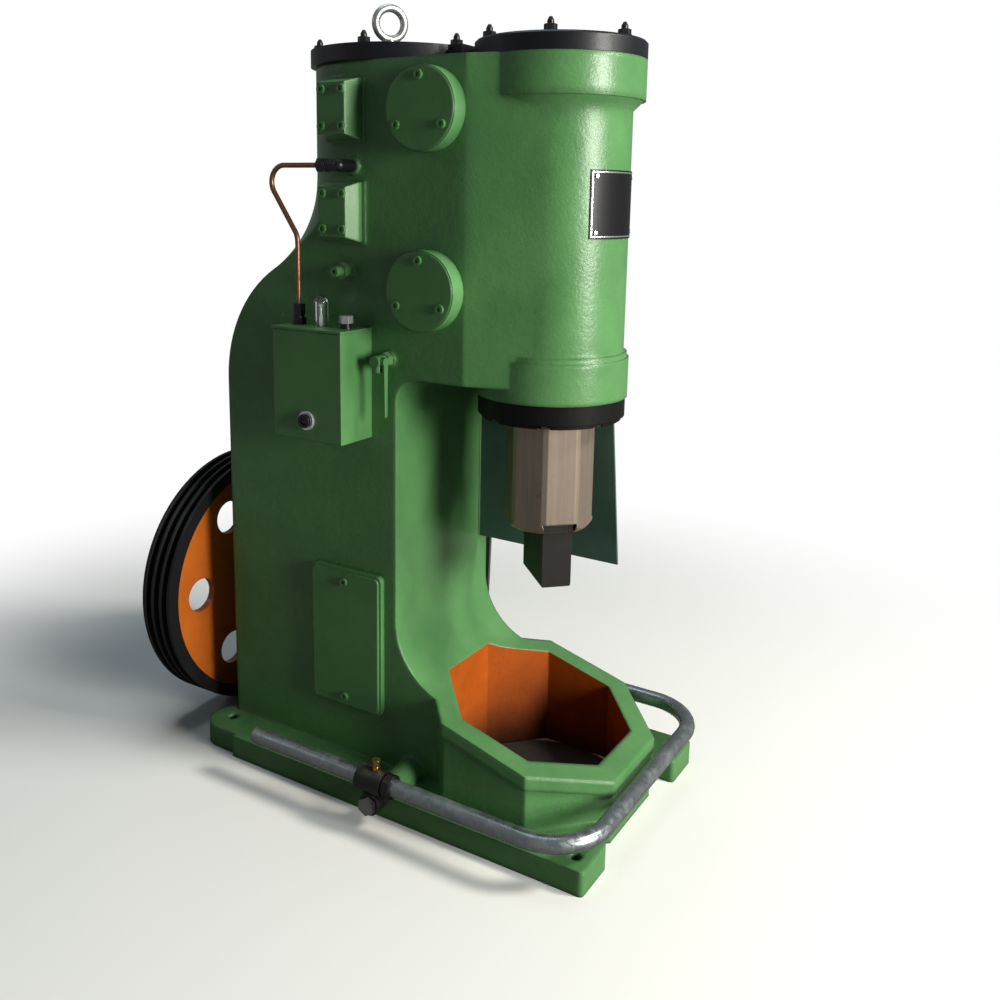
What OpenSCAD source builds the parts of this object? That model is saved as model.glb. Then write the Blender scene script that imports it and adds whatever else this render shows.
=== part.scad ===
// Pneumatic power hammer: one-piece frame, air-driven ram, crank-driven compression piston,
// foot treadle with rotary valves. Millimetres, +Z up.
// Origin: on the ram centreline, at the level of the underside of the base.
// The ram side faces -Y, the belt pulley is at the +Y end, the lubricator side faces -X.

/* [Cylinders] */
// Height of the working cylinder cover above the floor, mm
height = 1205; // [1195:1:1215]
// Distance between the working and compression cylinder centrelines, mm
axis_gap = 289; // [286:1:293]
// Thickness of the two cylinder covers, mm
cover_t = 26; // [22:1:28]
// Outer radius of the working cylinder barrel, mm
work_r = 110; // [107:1:112]
// Bore radius of the working cylinder, mm
work_bore = 75; // [73:0.5:77]
// Radius of the upper collar and working cover, mm
top_collar_r = 128; // [125:1:130]
// Radius of the lower collar, mm
low_collar_r = 118; // [117:0.5:120]
// Bore radius of the compression cylinder, mm
comp_bore = 95; // [92:1:96]
// Radius of the compression cylinder cover, mm
comp_cover_r = 148; // [146:1:152]

/* [Frame] */
// Half width of the frame body, mm
body_half = 140; // [138:1:142]
// Rear face of the frame body, mm from the ram centreline
rear_y = 561; // [556:1:566]
// Front face of the column behind the throat, mm
column_y = 200; // [197:1:203]
// Underside of the cylinder block, mm
block_z = 700; // [695:1:705]
// Radius of the shoulder behind the compression cylinder, mm
shoulder_r = 226; // [222:1:228]
// Half width of the base flange, mm
base_half = 215; // [213:1:217]
// Thickness of the base flange, mm
base_t = 39; // [36:1:40]
// Spacing of the front foundation holes across the base, mm
front_hole_x = 370; // [366:1:374]
// Spacing of the rear foundation holes across the base, mm
rear_hole_x = 330; // [326:1:334]
// Radius of the foundation bolt holes, mm
foot_hole_r = 9; // [8:0.5:10]

/* [Anvil well] */
// Half width of the well opening across the machine, mm
well_x = 145; // [142:1:147]
// Half length of the well opening along the machine, mm
well_y = 139; // [136:1:141]
// Wall thickness at the well rim, mm
well_wall = 36; // [33:1:38]
// Height of the well rim on the ram centreline, mm
rim_z = 153; // [150:1:156]
// Slope of the well rim down towards the front, degrees
rim_slope = 15.6; // [14:0.2:17]

/* [Drive] */
// Height of the crankshaft centreline, mm
crank_z = 248; // [246:1:252]
// Crank throw, mm
throw_r = 60; // [56:1:61]
// Connecting rod length between centres, mm
rod_len = 584; // [581:1:588]
// Outer radius of the belt pulley, mm
pulley_r = 240; // [236:1:243]
// Width of the belt pulley, mm
pulley_w = 68; // [64:1:70]

/* [Ram and die] */
// Width of the octagonal ram across flats, mm
ram_af = 132; // [128:1:134]
// Radius of the blind bore that lightens the ram, mm
ram_core = 55; // [50:1:57]
// Travel of the ram upwards from the shown height, mm
ram_up = 35; // [30:1:38]
// Travel of the ram downwards from the shown height, mm
ram_down = 155; // [145:1:158]
// Length of the upper die along its dovetail, mm
die_x = 106; // [98:1:112]
// Width of the upper die across its dovetail, mm
die_y = 48; // [42:1:52]
// Height of the upper die below the ram, mm
die_h = 90; // [86:1:94]

/* [Treadle] */
// Outer radius of the treadle tube, mm
tube_r = 13.5; // [13:0.25:14]
// Half distance between the two side tubes, mm
tread_half = 245; // [243:1:248]
// Front bar of the treadle, mm in front of the ram centreline
tread_front = 191; // [190:1:196]
// Height of the treadle tube at rest, mm
tread_z = 82; // [80:1:84]
// Bend radius of the tube centreline, mm
bend_r = 88; // [80:1:92]
// Treadle pivot behind the ram centreline, mm
pivot_y = 165; // [164:0.5:166]
// Height of the treadle pivot, mm
pivot_z = 46; // [45.5:0.5:47]

/* [Fits] */
// Radial running clearance of shafts and pistons, mm
run_fit = 0.06; // [0.04:0.01:0.09]
// Clearance between pieces that slide past each other, mm
gap = 0.4; // [0.35:0.05:0.6]
// Radial clearance around bolts in drilled holes, mm
bolt_fit = 0.1; // [0.05:0.05:0.2]

/* [Hidden] */
$fn = 96;

e = 0.01;
deck = height - cover_t;                 // top face of the casting
low_z0 = block_z - 21;                   // underside of the lower collar
low_z1 = block_z + 45;                   // top of the lower collar
gland_t = 36;                            // gland ring thickness
top_z0 = deck - 58;                      // underside of the upper collar
bush_r = low_collar_r - 24;              // outside radius of the guide bush
bush_z1 = block_z + 42;                  // top of the guide bush
shoulder_y = rear_y - shoulder_r;        // centre of the shoulder arc
shoulder_z = block_z - 38;
fil_r = 40;                              // concave fillet between shoulder and cylinder
comp_back = axis_gap + body_half;        // rearmost line of the compression cylinder
fil_z = shoulder_z + sqrt(pow(shoulder_r + fil_r, 2) - pow(comp_back + fil_r - shoulder_y, 2));
// point where the fillet leaves the shoulder, and the flare that meets the body side smoothly there
join_y = shoulder_y + shoulder_r * (comp_back + fil_r - shoulder_y) / (shoulder_r + fil_r);
join_z = shoulder_z + sqrt(pow(shoulder_r, 2) - pow(join_y - shoulder_y, 2));
join_r = sqrt(pow(join_y - axis_gap, 2) + pow(body_half, 2));
join_a = atan((join_z - shoulder_z) / (join_y - shoulder_y) * (join_y - axis_gap) / join_r);
flare_r = (join_r - body_half) / (1 - cos(join_a));
flare_z = join_z + flare_r * sin(join_a);
sweep_r = 120;                           // concave sweep from the column to the well rim
well_cy = 6;                             // centre of the well behind the ram centreline
well_c = 0.43;                           // corner position as a share of the half width
slope = tan(rim_slope);
sweep_y = column_y - sweep_r;
sweep_z = rim_z - slope * well_cy + slope * sweep_y + sweep_r / cos(rim_slope);
valve_y = (work_bore + axis_gap - comp_bore) / 2 + 2.5;   // valve centreline between the two bores
valve_r = 34;
valve_hi = deck - 76;
valve_lo = deck - 339;
vcover_r = 61;
vcover_t = 30;
spindle_r = 11;
// flat webs that run from the chest to the working cylinder, nearly tangent to it
web_y = valve_y - vcover_r;
web_r = work_r - 0.5;
web_a = atan(web_y / body_half) + asin(web_r / sqrt(pow(body_half, 2) + pow(web_y, 2)));
cap_y0 = axis_gap - 27; cap_y1 = axis_gap + 39;
cap_hi = deck - 71;                      // centre height of the upper port cap
cap_lo = deck - 225;
stud_r = 5;
screw_r = 4;
plug_y = axis_gap + 3; plug_z = deck - 317;
cock_y = column_y + 11; cock_z = block_z + 29;
name_z0 = top_z0 - 199; name_z1 = name_z0 + 98;
eye_y = axis_gap + 26;
tank_x0 = body_half; tank_x1 = body_half + 77;
tank_y0 = column_y + 46; tank_y1 = tank_y0 + 137;
tank_z0 = block_z - 100; tank_z1 = tank_z0 + 176;
door_y0 = column_y + 22; door_y1 = door_y0 + 146;
door_z0 = base_t + 88; door_z1 = door_z0 + 243; door_t = 14;
house_r = 125;                           // flange of the rear bearing housing
house_bore = 104;
shaft_r = 27;                            // crankshaft journals
pin_r = 24;                              // crank pin
bush_t = 8;                              // wall of the crankshaft bushes
pulley_y0 = rear_y + 61;
pulley_y1 = pulley_y0 + pulley_w;
case_x = 114;                            // inside half width of the crankcase
case_y0 = column_y + 26; case_y1 = rear_y - 24;
case_z0 = base_t + 6; case_z1 = block_z - 108;
rod_y = axis_gap;                        // plane of the connecting rod
rod_w = 34;
comp_floor = block_z + 18;               // lower end of the compression bore
wrist_z = crank_z - throw_r + rod_len;   // wrist pin with the crank at the bottom
wrist_r = 12;
wrist_eye = wrist_r + 9;                 // outside radius of the small end
piston_z0 = comp_floor + 4;              // compression piston at its lowest
piston_len = deck - 14 - 5 - 2 * throw_r - piston_z0;
ram_r = ram_af / 2 / cos(22.5);          // corner radius of the ram
ram_z0 = block_z - 233;                  // lower end of the ram as shown
ram_head = bush_z1 + ram_down + 4;       // underside of the piston head as shown
ram_top = height - cover_t - 14 - ram_up - 4;
die_gap_y = 48;                          // dovetail width
dove_h = 15;
die_turn = 225;                          // the dovetail lies diagonally under the ram
guard_x = body_half - 30;
guard_z = block_z - 324;                 // lower edge of the guard
cross_r = 12;
tread_back = rear_y - 148;               // rear end of the treadle tubes
lever_x = body_half + 18;
pipe_x = -body_half - 36;                // plane of the oil pipe
pipe_y = tank_y1 - 19;
pipe_r = 4;
pipe_a = 35;                             // backward lean of the middle length
pipe_b1 = 30; pipe_b2 = 26;              // bend radii
pipe_mid = 73;
elbow_y = axis_gap - 9; elbow_z = deck - 156;
pipe_z1 = elbow_z - pipe_b2 - (pipe_b2 + pipe_b1) * sin(pipe_a) - pipe_mid * cos(pipe_a);
arm_y = 55; arm_z = 10;                  // offset of every lever pin from its pivot
cover_pcd = top_collar_r - 16;
comp_pcd = comp_cover_r - 15;
gland_pcd = low_collar_r - 14;
// cover stud positions: x, y
work_studs = [for (a = [20:60:320]) [cover_pcd * cos(a), cover_pcd * sin(a)]];
comp_studs = concat([for (a = [-10, 50, 95, 130, 190])
                     [comp_pcd * cos(a), axis_gap + comp_pcd * sin(a)]],
                    [[-44, axis_gap - comp_pcd], [44, axis_gap - comp_pcd]]);

function rim(y) = rim_z + slope * (y - well_cy);

// Helpers: bars along one axis
module xbar(r, x0, x1, y, z) { translate([x0, y, z]) rotate([0, 90, 0]) cylinder(r = r, h = x1 - x0); }
module ybar(r, y0, y1, x, z) { translate([x, y1, z]) rotate([90, 0, 0]) cylinder(r = r, h = y1 - y0); }
module zbar(r, z0, z1, x = 0, y = 0) { translate([x, y, z0]) cylinder(r = r, h = z1 - z0); }
module block(a, b) { translate(a) cube([b[0] - a[0], b[1] - a[1], b[2] - a[2]]); }
// extrudes a drawing in the YZ plane between two X positions
module side(x0, x1) { translate([x0, 0, 0]) rotate([90, 0, 90]) linear_extrude(height = x1 - x0) children(); }
// extrudes a drawing in the XZ plane between two Y positions
module face(y0, y1) { translate([0, y1, 0]) rotate([90, 0, 0]) linear_extrude(height = y1 - y0) children(); }
module well_plan(hx, hy) {
  cx = well_c * hx; cy = well_c * hy;
  translate([0, well_cy])
    polygon([[-cx, hy], [cx, hy], [hx, cy], [hx, -cy], [cx, -hy], [-cx, -hy], [-hx, -cy], [-hx, cy]]);
}
module plate(w, h, r) {
  // rounded rectangle drawn from its centre
  union() {
    square([w - 2 * r, h], center = true);
    square([w, h - 2 * r], center = true);
    for (sx = [-1, 1], sy = [-1, 1]) translate([sx * (w / 2 - r), sy * (h / 2 - r)]) circle(r);
  }
}

// Frame
module base_plan() {
  difference() {
    union() {
      translate([-base_half, -150]) square([2 * base_half, rear_y - 60 + 150]);
      for (s = [-1, 1]) {
        translate([s * (base_half - 41), -140]) plate(82, 90, 7);
        translate([s * (base_half - 41), -100]) square([82, 30], center = true);
        translate([s * rear_hole_x / 2, rear_y - 12]) circle(42);
        translate([s * (rear_hole_x / 2 - 20), rear_y - 40]) square([124, 56], center = true);
      }
      translate([-body_half, 300]) square([2 * body_half, rear_y - 300]);
    }
    for (s = [-1, 1]) {
      translate([s * front_hole_x / 2, -159]) circle(foot_hole_r);
      translate([s * rear_hole_x / 2, rear_y - 12]) circle(foot_hole_r);
    }
  }
}
module column_profile() {
  intersection() {
    union() {
      translate([column_y, 0]) square([rear_y - column_y, shoulder_z]);
      translate([shoulder_y, shoulder_z]) circle(shoulder_r);
    }
    translate([column_y, 0]) square([rear_y, 900]);
  }
}
module blend_profile() {
  difference() {
    translate([axis_gap, shoulder_z]) square([comp_back + fil_r - axis_gap, flare_z - shoulder_z]);
    translate([comp_back + fil_r, fil_z]) circle(fil_r);
    translate([comp_back, fil_z]) square([fil_r + e, flare_z]);
    // keep only what lies above the shoulder, up to where the fillet meets it
    translate([join_y, shoulder_z - e]) square([200, fil_z]);
  }
}
module blend_flare() {
  // a round block hollowed by a torus that meets the cylinder wall without a step
  difference() {
    zbar(join_r + 8, shoulder_z, flare_z - e, 0, axis_gap);
    translate([0, axis_gap, flare_z]) rotate_extrude() translate([body_half + flare_r, 0]) circle(flare_r);
  }
}
module sweep_profile() {
  difference() {
    polygon([[0, 0], [column_y + 20, 0], [column_y + 20, sweep_z], [sweep_y, sweep_z],
      [sweep_y + sweep_r * sin(rim_slope), sweep_z - sweep_r * cos(rim_slope)], [0, rim(0)]]);
    translate([sweep_y, sweep_z]) circle(sweep_r);
  }
}
module throat_corner() {
  // rounded inner corner between the column face and the block underside
  difference() {
    translate([column_y - 38, block_z - 38]) square([58, 58]);
    translate([column_y - 38, block_z - 38]) circle(38);
  }
}
module stud_holes(list, z0, r) { for (p = list) zbar(r, z0, deck + 60, p[0], p[1]); }
module cap_centres() {
  // port cap screw positions on the near side: y, z
  for (zc = [cap_hi, cap_lo], dy = [-19, 19], dz = [-27, 27])
    translate([0, (cap_y0 + cap_y1) / 2 + dy, zc + dz]) children();
}
module vcover_centres() {
  for (zc = [valve_hi, valve_lo], a = [90, 210, 330])
    translate([0, valve_y + 46 * cos(a), zc + 46 * sin(a)]) children();
}
module door_centres() {
  for (z = [door_z0 + 20, door_z1 - 20]) translate([0, (door_y0 + door_y1) / 2, z]) children();
}
module house_centres() {
  for (a = [30:60:330]) translate([114 * cos(a), 0, crank_z + 114 * sin(a)]) children();
}
module rivet_places() {
  for (a = [-122, -58], z = [name_z0 + 9, name_z1 - 9]) rotate([0, 0, a]) translate([0, 0, z]) children();
}
module gland_centres() {
  for (a = [22.5:45:350]) translate([gland_pcd * cos(a), gland_pcd * sin(a), 0]) children();
}

module well_body() {
  intersection() {
    union() {
      linear_extrude(height = 320) well_plan(well_x + well_wall - 4, well_y + well_wall - 4);
      intersection() {
        linear_extrude(height = 320) well_plan(well_x + well_wall, well_y + well_wall);
        side(-260, 260) polygon([[-220, rim(-220) - 22], [230, rim(230) - 22], [230, 330], [-220, 330]]);
      }
    }
    side(-260, 260) polygon([[-220, 0], [230, 0], [230, rim(230)], [-220, rim(-220)]]);
  }
}
module frame_solid() {
  union() {
    linear_extrude(height = base_t) base_plan();
    side(-body_half, body_half) column_profile();
    intersection() { side(-body_half, body_half) blend_profile(); blend_flare(); }
    side(-body_half, body_half) sweep_profile();
    side(-body_half, body_half) throat_corner();
    well_body();
    // compression cylinder and valve chest
    zbar(body_half, block_z, deck, 0, axis_gap);
    translate([0, 0, block_z]) linear_extrude(height = deck - block_z)
      polygon([[-body_half, axis_gap], [-body_half, web_y], [-web_r * sin(web_a), -web_r * cos(web_a)],
        [web_r * sin(web_a), -web_r * cos(web_a)], [body_half, web_y], [body_half, axis_gap]]);
    // working cylinder with its two collars
    zbar(work_r, low_z0, deck);
    zbar(top_collar_r, top_z0, deck);
    translate([0, 0, top_z0 - 14]) cylinder(r1 = work_r, r2 = work_r + 14, h = 14);
    zbar(low_collar_r - 3, low_z0, low_z1 + 4);
    zbar(low_collar_r, low_z0, low_z1 - 4);
    // pads for the port caps and the treadle pivot bosses
    for (zc = [cap_hi, cap_lo])
      block([-body_half - 3, cap_y0 - 6, zc - 50], [-body_half + 40, cap_y1 + 4, zc + 46]);
    for (s = [-1, 1]) let (in = s * 130, out = s * (tread_half - 39))
      xbar(24, min(in, out), max(in, out), pivot_y, pivot_z);
    // pipe, plug and cock bosses on the near side
    xbar(14, -body_half - 6, -body_half + 20, elbow_y, elbow_z);
    xbar(15, -body_half - 6, -body_half + 20, plug_y, plug_z);
    xbar(13, -body_half - 5, -body_half + 20, cock_y, cock_z);
  }
}
module frame_casting() {
  color([0.13, 0.42, 0.18]) difference() {
    frame_solid();
    translate([0, 0, -1]) linear_extrude(height = 330) well_plan(well_x, well_y);
    // crankcase, its rear opening and the front journal seat
    difference() {
      block([-case_x, case_y0, case_z0], [case_x, case_y1, case_z1]);
      ybar(52, case_y0 - 5, case_y0 + 18, 0, crank_z);
    }
    ybar(house_bore, case_y1 - 5, rear_y + 10, 0, crank_z);
    ybar(shaft_r + bush_t, column_y + 8, case_y0 + 30, 0, crank_z);
    block([-body_half - 5, door_y0 + 20, door_z0 + 34], [-case_x + 5, door_y1 - 20, door_z1 - 34]);
    // cylinders
    zbar(comp_bore, comp_floor, deck + 1, 0, axis_gap);
    block([-throw_r - 28, axis_gap - 48, case_z1 - 7], [throw_r + 28, axis_gap + 86, comp_floor + 1]);
    zbar(work_bore, bush_z1 - 1, deck + 1);
    zbar(bush_r, low_z0 - 1, bush_z1);
    // valve bores open on the near side, spindle holes on the far side, ports to both cylinders
    for (z = [valve_hi, valve_lo]) {
      xbar(valve_r, -body_half - 1, 112, valve_y, z);
      xbar(spindle_r + run_fit, 110, body_half + 5, valve_y, z);
      block([-22, work_bore - 12, z - 12], [22, valve_y - 20, z + 12]);
      block([-22, valve_y + 20, z - 12], [22, axis_gap - comp_bore + 12, z + 12]);
    }
    // core holes behind the port caps
    for (zc = [cap_hi, cap_lo]) xbar(16, -body_half - 5, -body_half + 30, (cap_y0 + cap_y1) / 2, zc);
    // treadle shaft bore and the pocket for its lever
    xbar(cross_r + run_fit, -220, 220, pivot_y, pivot_z);
    block([lever_x - 8, pivot_y - 27, 25], [lever_x + 20, pivot_y + 82, 120]);
    // fastener holes
    stud_holes(work_studs, deck - 32, stud_r + bolt_fit);
    stud_holes(comp_studs, deck - 32, stud_r + bolt_fit);
    cap_centres() xbar(screw_r + bolt_fit, -body_half - 10, -body_half + 16, 0, 0);
    vcover_centres() xbar(screw_r + bolt_fit, -body_half - 10, -body_half + 16, 0, 0);
    door_centres() xbar(screw_r + bolt_fit, -body_half - 10, -body_half + 16, 0, 0);
    house_centres() ybar(stud_r + bolt_fit, rear_y - 18, rear_y + 10, 0, 0);
    gland_centres() zbar(stud_r + bolt_fit, low_z0 - 10, low_z0 + 22);
    for (y = [118, 172]) zbar(stud_r + bolt_fit, block_z - 10, block_z + 18, guard_x - 17, y);
    // seats for the oil pipe elbow, the plug, the cock and the tank screws
    xbar(6 + bolt_fit, -body_half - 10, -comp_bore - 20, elbow_y, elbow_z);
    xbar(7 + bolt_fit, -body_half - 10, -body_half + 16, plug_y, plug_z);
    xbar(6 + bolt_fit, -body_half - 10, -body_half + 16, cock_y, cock_z);
    for (y = [tank_y0 + 24, tank_y1 - 24])
      xbar(screw_r + bolt_fit, -body_half - 5, -body_half + 16, y, tank_z1 - 40);
    rivet_places() xbar(1.5 + bolt_fit, work_r - 8, work_r + 5, 0, 0);
  }
}

// Covers and fasteners
module working_cover() {
  color([0.03, 0.03, 0.05]) difference() {
    union() {
      zbar(top_collar_r, deck, height - 3);
      translate([0, 0, height - 3]) cylinder(r1 = top_collar_r, r2 = top_collar_r - 3, h = 3);
      zbar(work_bore - gap, deck - 12, deck + 1);
    }
    stud_holes(work_studs, deck - 1, stud_r + bolt_fit);
    zbar(work_bore - 14, deck - 13, deck - 2);
  }
}
module compression_plan() {
  difference() {
    union() {
      translate([0, axis_gap]) circle(comp_cover_r);
      translate([-66, 132]) square([132, axis_gap - 132]);
    }
    circle(top_collar_r + 6);
  }
}
module compression_cover() {
  color([0.03, 0.03, 0.05]) difference() {
    union() {
      translate([0, 0, deck]) linear_extrude(height = cover_t - 1) compression_plan();
      zbar(comp_bore - gap, deck - 12, deck + 1, 0, axis_gap);
    }
    stud_holes(comp_studs, deck - 1, stud_r + bolt_fit);
    zbar(7 + bolt_fit, deck - 2, height + 1, 0, eye_y);
    zbar(comp_bore - 14, deck - 13, deck - 2, 0, axis_gap);
  }
}
module cover_studs() {
  // stud, hex nut and rounded stud end for both covers
  color([0.04, 0.04, 0.05]) union() {
    for (p = work_studs) translate([p[0], p[1], 0]) stud(height);
    for (p = comp_studs) translate([p[0], p[1], 0]) stud(height - 1);
  }
}
module stud(z) {
  union() {
    zbar(stud_r, deck - 30, z + 14);
    translate([0, 0, z]) cylinder(r = 9.5, h = 9, $fn = 6);
    translate([0, 0, z + 14]) cylinder(r1 = stud_r, r2 = 2.2, h = 5);
  }
}
module eye_bolt() {
  color([0.62, 0.63, 0.62]) translate([0, eye_y, 0]) difference() {
    union() {
      zbar(7, deck, height + 3);
      zbar(16, height - 1, height + 7);
      zbar(9, height, height + 24);
      translate([0, 0, height + 49]) rotate([0, 0, -33]) rotate([90, 0, 0])
        rotate_extrude() translate([24.5, 0]) circle(6.5);
    }
    translate([0, 0, height - 1 - e]) difference() { zbar(60, -40, 0); zbar(7, -41, 1); }
  }
}
module valve_cover(zc) {
  color([0.12, 0.38, 0.17]) difference() {
    union() {
      xbar(vcover_r, -body_half - vcover_t + 2, -body_half, valve_y, zc);
      xbar(vcover_r - 2, -body_half - vcover_t, -body_half, valve_y, zc);
      xbar(valve_r - gap, -body_half - e, -body_half + 8, valve_y, zc);
    }
    vcover_centres() xbar(screw_r + bolt_fit, -body_half - vcover_t - 5, -body_half + 12, 0, 0);
  }
}
module upper_valve_cover() valve_cover(valve_hi);
module lower_valve_cover() valve_cover(valve_lo);
module port_cap(zc) {
  // tapered block: the side drawing and the plan drawing cut each other
  x0 = -body_half - 3; x1 = x0 - 7; x2 = x0 - 30;
  color([0.12, 0.38, 0.17]) difference() {
    intersection() {
      face(cap_y0 - 5, cap_y1 + 5)
        polygon([[x0, zc - 46], [x0, zc + 44], [x1, zc + 44], [x2, zc + 37], [x2, zc - 39], [x1, zc - 46]]);
      translate([0, 0, zc - 60]) linear_extrude(height = 120)
        polygon([[x0, cap_y0], [x0, cap_y1], [x1, cap_y1], [x2, cap_y1 - 5], [x2, cap_y0 + 9], [x1, cap_y0]]);
    }
    cap_centres() xbar(screw_r + bolt_fit, x2 - 5, x0 + 5, 0, 0);
  }
}
module upper_port_cap() port_cap(cap_hi);
module lower_port_cap() port_cap(cap_lo);
module inspection_door() {
  x0 = -body_half;
  w = door_y1 - door_y0; h = door_z1 - door_z0;
  color([0.12, 0.38, 0.17]) difference() {
    union() {
      translate([0, (door_y0 + door_y1) / 2, (door_z0 + door_z1) / 2]) {
        side(x0 - door_t + 4, x0) plate(w, h, 9);
        side(x0 - door_t, x0) plate(w - 8, h - 8, 7);
      }
    }
    door_centres() xbar(screw_r + bolt_fit, x0 - door_t - 5, x0 + 5, 0, 0);
  }
}
module cap_screw(x, depth) {
  // pan head screw driven along +X from the given face
  union() {
    xbar(screw_r, x - 0.5, x + depth, 0, 0);
    difference() {
      xbar(7, x - 4.5, x, 0, 0);
      xbar(3.4, x - 5, x - 2, 0, 0);
    }
  }
}
module cap_screws() {
  color([0.14, 0.40, 0.19]) union() {
    vcover_centres() cap_screw(-body_half - vcover_t, vcover_t + 14);
    cap_centres() cap_screw(-body_half - 33, 45);
    door_centres() cap_screw(-body_half - door_t, door_t + 14);
    for (y = [tank_y0 + 24, tank_y1 - 24]) translate([0, y, tank_z1 - 40]) cap_screw(-body_half - 3, 17);
  }
}
module nameplate() {
  color([0.03, 0.03, 0.03]) difference() {
    rotate([0, 0, -127]) translate([0, 0, name_z0]) rotate_extrude(angle = 74)
      translate([work_r, 0]) square([1.5, name_z1 - name_z0]);
    rivet_places() xbar(1.5 + bolt_fit, work_r - 8, work_r + 5, 0, 0);
  }
}
module nameplate_rivets() {
  color([0.7, 0.7, 0.68]) rivet_places() union() {
    xbar(1.5, work_r - 6, work_r + 2, 0, 0);
    xbar(3, work_r + 1.7, work_r + 3.2, 0, 0);
  }
}

// Lubricator
module lubricator_tank() {
  color([0.12, 0.38, 0.17]) difference() {
    block([-tank_x1, tank_y0, tank_z0], [-tank_x0, tank_y1, tank_z1 - 4]);
    block([-tank_x1 + 4, tank_y0 + 4, tank_z0 + 4], [-tank_x0 - 4 + 1, tank_y1 - 4, tank_z1]);
    xbar(8 + bolt_fit, -tank_x1 - 5, -tank_x1 + 10, tank_y0 + 68, tank_z0 + 32);
    for (y = [tank_y0 + 24, tank_y1 - 24])
      xbar(screw_r + bolt_fit, -tank_x0 - 8, -tank_x0 + 5, y, tank_z1 - 40);
  }
}
module lubricator_lid() {
  color([0.13, 0.40, 0.18]) difference() {
    block([-tank_x1 - 1.5, tank_y0 - 1.5, tank_z1 - 4], [-tank_x0, tank_y1 + 1.5, tank_z1]);
    zbar(7 + bolt_fit, tank_z1 - 10, tank_z1 + 5, pipe_x, pipe_y);
    zbar(9 + bolt_fit, tank_z1 - 10, tank_z1 + 5, pipe_x, tank_y0 + 72);
    zbar(6 + bolt_fit, tank_z1 - 10, tank_z1 + 5, pipe_x, tank_y0 + 22);
  }
}
module sight_dome() {
  color([0.75, 0.85, 0.82, 0.5]) translate([pipe_x, tank_y0 + 72, 0]) difference() {
    union() {
      zbar(9, tank_z1 - 8, tank_z1 + 2);
      zbar(11, tank_z1, tank_z1 + 38);
      translate([0, 0, tank_z1 + 38]) sphere(r = 11);
    }
    zbar(7.5, tank_z1 - 9, tank_z1 + 38);
  }
}
module filler_plug() {
  color([0.68, 0.62, 0.5]) translate([pipe_x, tank_y0 + 22, 0]) union() {
    zbar(6, tank_z1 - 12, tank_z1 + 8);
    zbar(9, tank_z1, tank_z1 + 3);
    translate([0, 0, tank_z1 + 8]) cylinder(r = 11, h = 12, $fn = 6);
    zbar(8, tank_z1 + 3, tank_z1 + 9);
  }
}
module level_eye() {
  color([0.8, 0.8, 0.82]) translate([0, tank_y0 + 68, tank_z0 + 32]) difference() {
    union() {
      xbar(8, -tank_x1 - 2, -tank_x1 + 8, 0, 0);
      xbar(15, -tank_x1 - 4, -tank_x1, 0, 0);
      xbar(11, -tank_x1 - 9, -tank_x1 - 3, 0, 0);
    }
    xbar(6.5, -tank_x1 - 12, -tank_x1 - 5, 0, 0);
  }
}
module tank_fitting() {
  color([0.05, 0.05, 0.05]) translate([pipe_x, pipe_y, 0]) difference() {
    union() {
      zbar(7, tank_z1 - 10, tank_z1 + 4);
      translate([0, 0, tank_z1]) cylinder(r = 12, h = 10, $fn = 6);
      zbar(9, tank_z1 + 9, tank_z1 + 16);
      translate([0, 0, tank_z1 + 14]) cylinder(r = 10.5, h = 18, $fn = 6);
    }
    zbar(pipe_r + bolt_fit, tank_z1 + 8, tank_z1 + 40);
    zbar(2.5, tank_z1 - 11, tank_z1 + 12);
  }
}
module cylinder_elbow() {
  // screwed into the cylinder wall, then turned towards the rear
  color([0.05, 0.05, 0.05]) difference() {
    union() {
      xbar(6, -body_half - 8, -comp_bore - 26, elbow_y, elbow_z);
      xbar(10, pipe_x, -body_half - 6, elbow_y, elbow_z);
      translate([pipe_x, elbow_y, elbow_z]) sphere(r = 10);
      ybar(9, elbow_y, elbow_y + 22, pipe_x, elbow_z);
      translate([pipe_x, elbow_y + 38, elbow_z]) rotate([90, 0, 0]) cylinder(r = 11.5, h = 17, $fn = 6);
    }
    ybar(pipe_r + bolt_fit, elbow_y + 22, elbow_y + 50, pipe_x, elbow_z);
    ybar(2.5, elbow_y + 4, elbow_y + 25, pipe_x, elbow_z);
  }
}

module pipe_arc(y, z, r, a0, a1) {
  translate([pipe_x, y, z]) rotate([90, 0, 90]) rotate([0, 0, a0 - 1]) rotate_extrude(angle = a1 - a0 + 2)
    translate([r, 0]) circle(pipe_r + 0.05);
}
module oil_pipe() {
  // rises from the tank, leans back round the cylinder, then returns to the elbow
  y1 = pipe_y + pipe_b1 * (1 - cos(pipe_a)); z1 = pipe_z1 + pipe_b1 * sin(pipe_a);
  y2 = y1 + pipe_mid * sin(pipe_a) - pipe_b2 * cos(pipe_a); z2 = elbow_z - pipe_b2;
  color([0.62, 0.33, 0.18]) union() {
    zbar(pipe_r, tank_z1 + 12, pipe_z1, pipe_x, pipe_y);
    pipe_arc(pipe_y + pipe_b1, pipe_z1, pipe_b1, 180 - pipe_a, 180);
    translate([pipe_x, y1, z1]) rotate([-pipe_a, 0, 0]) cylinder(r = pipe_r, h = pipe_mid);
    pipe_arc(y2, z2, pipe_b2, -pipe_a, 90);
    ybar(pipe_r, elbow_y + 24, y2, pipe_x, elbow_z);
  }
}

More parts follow.
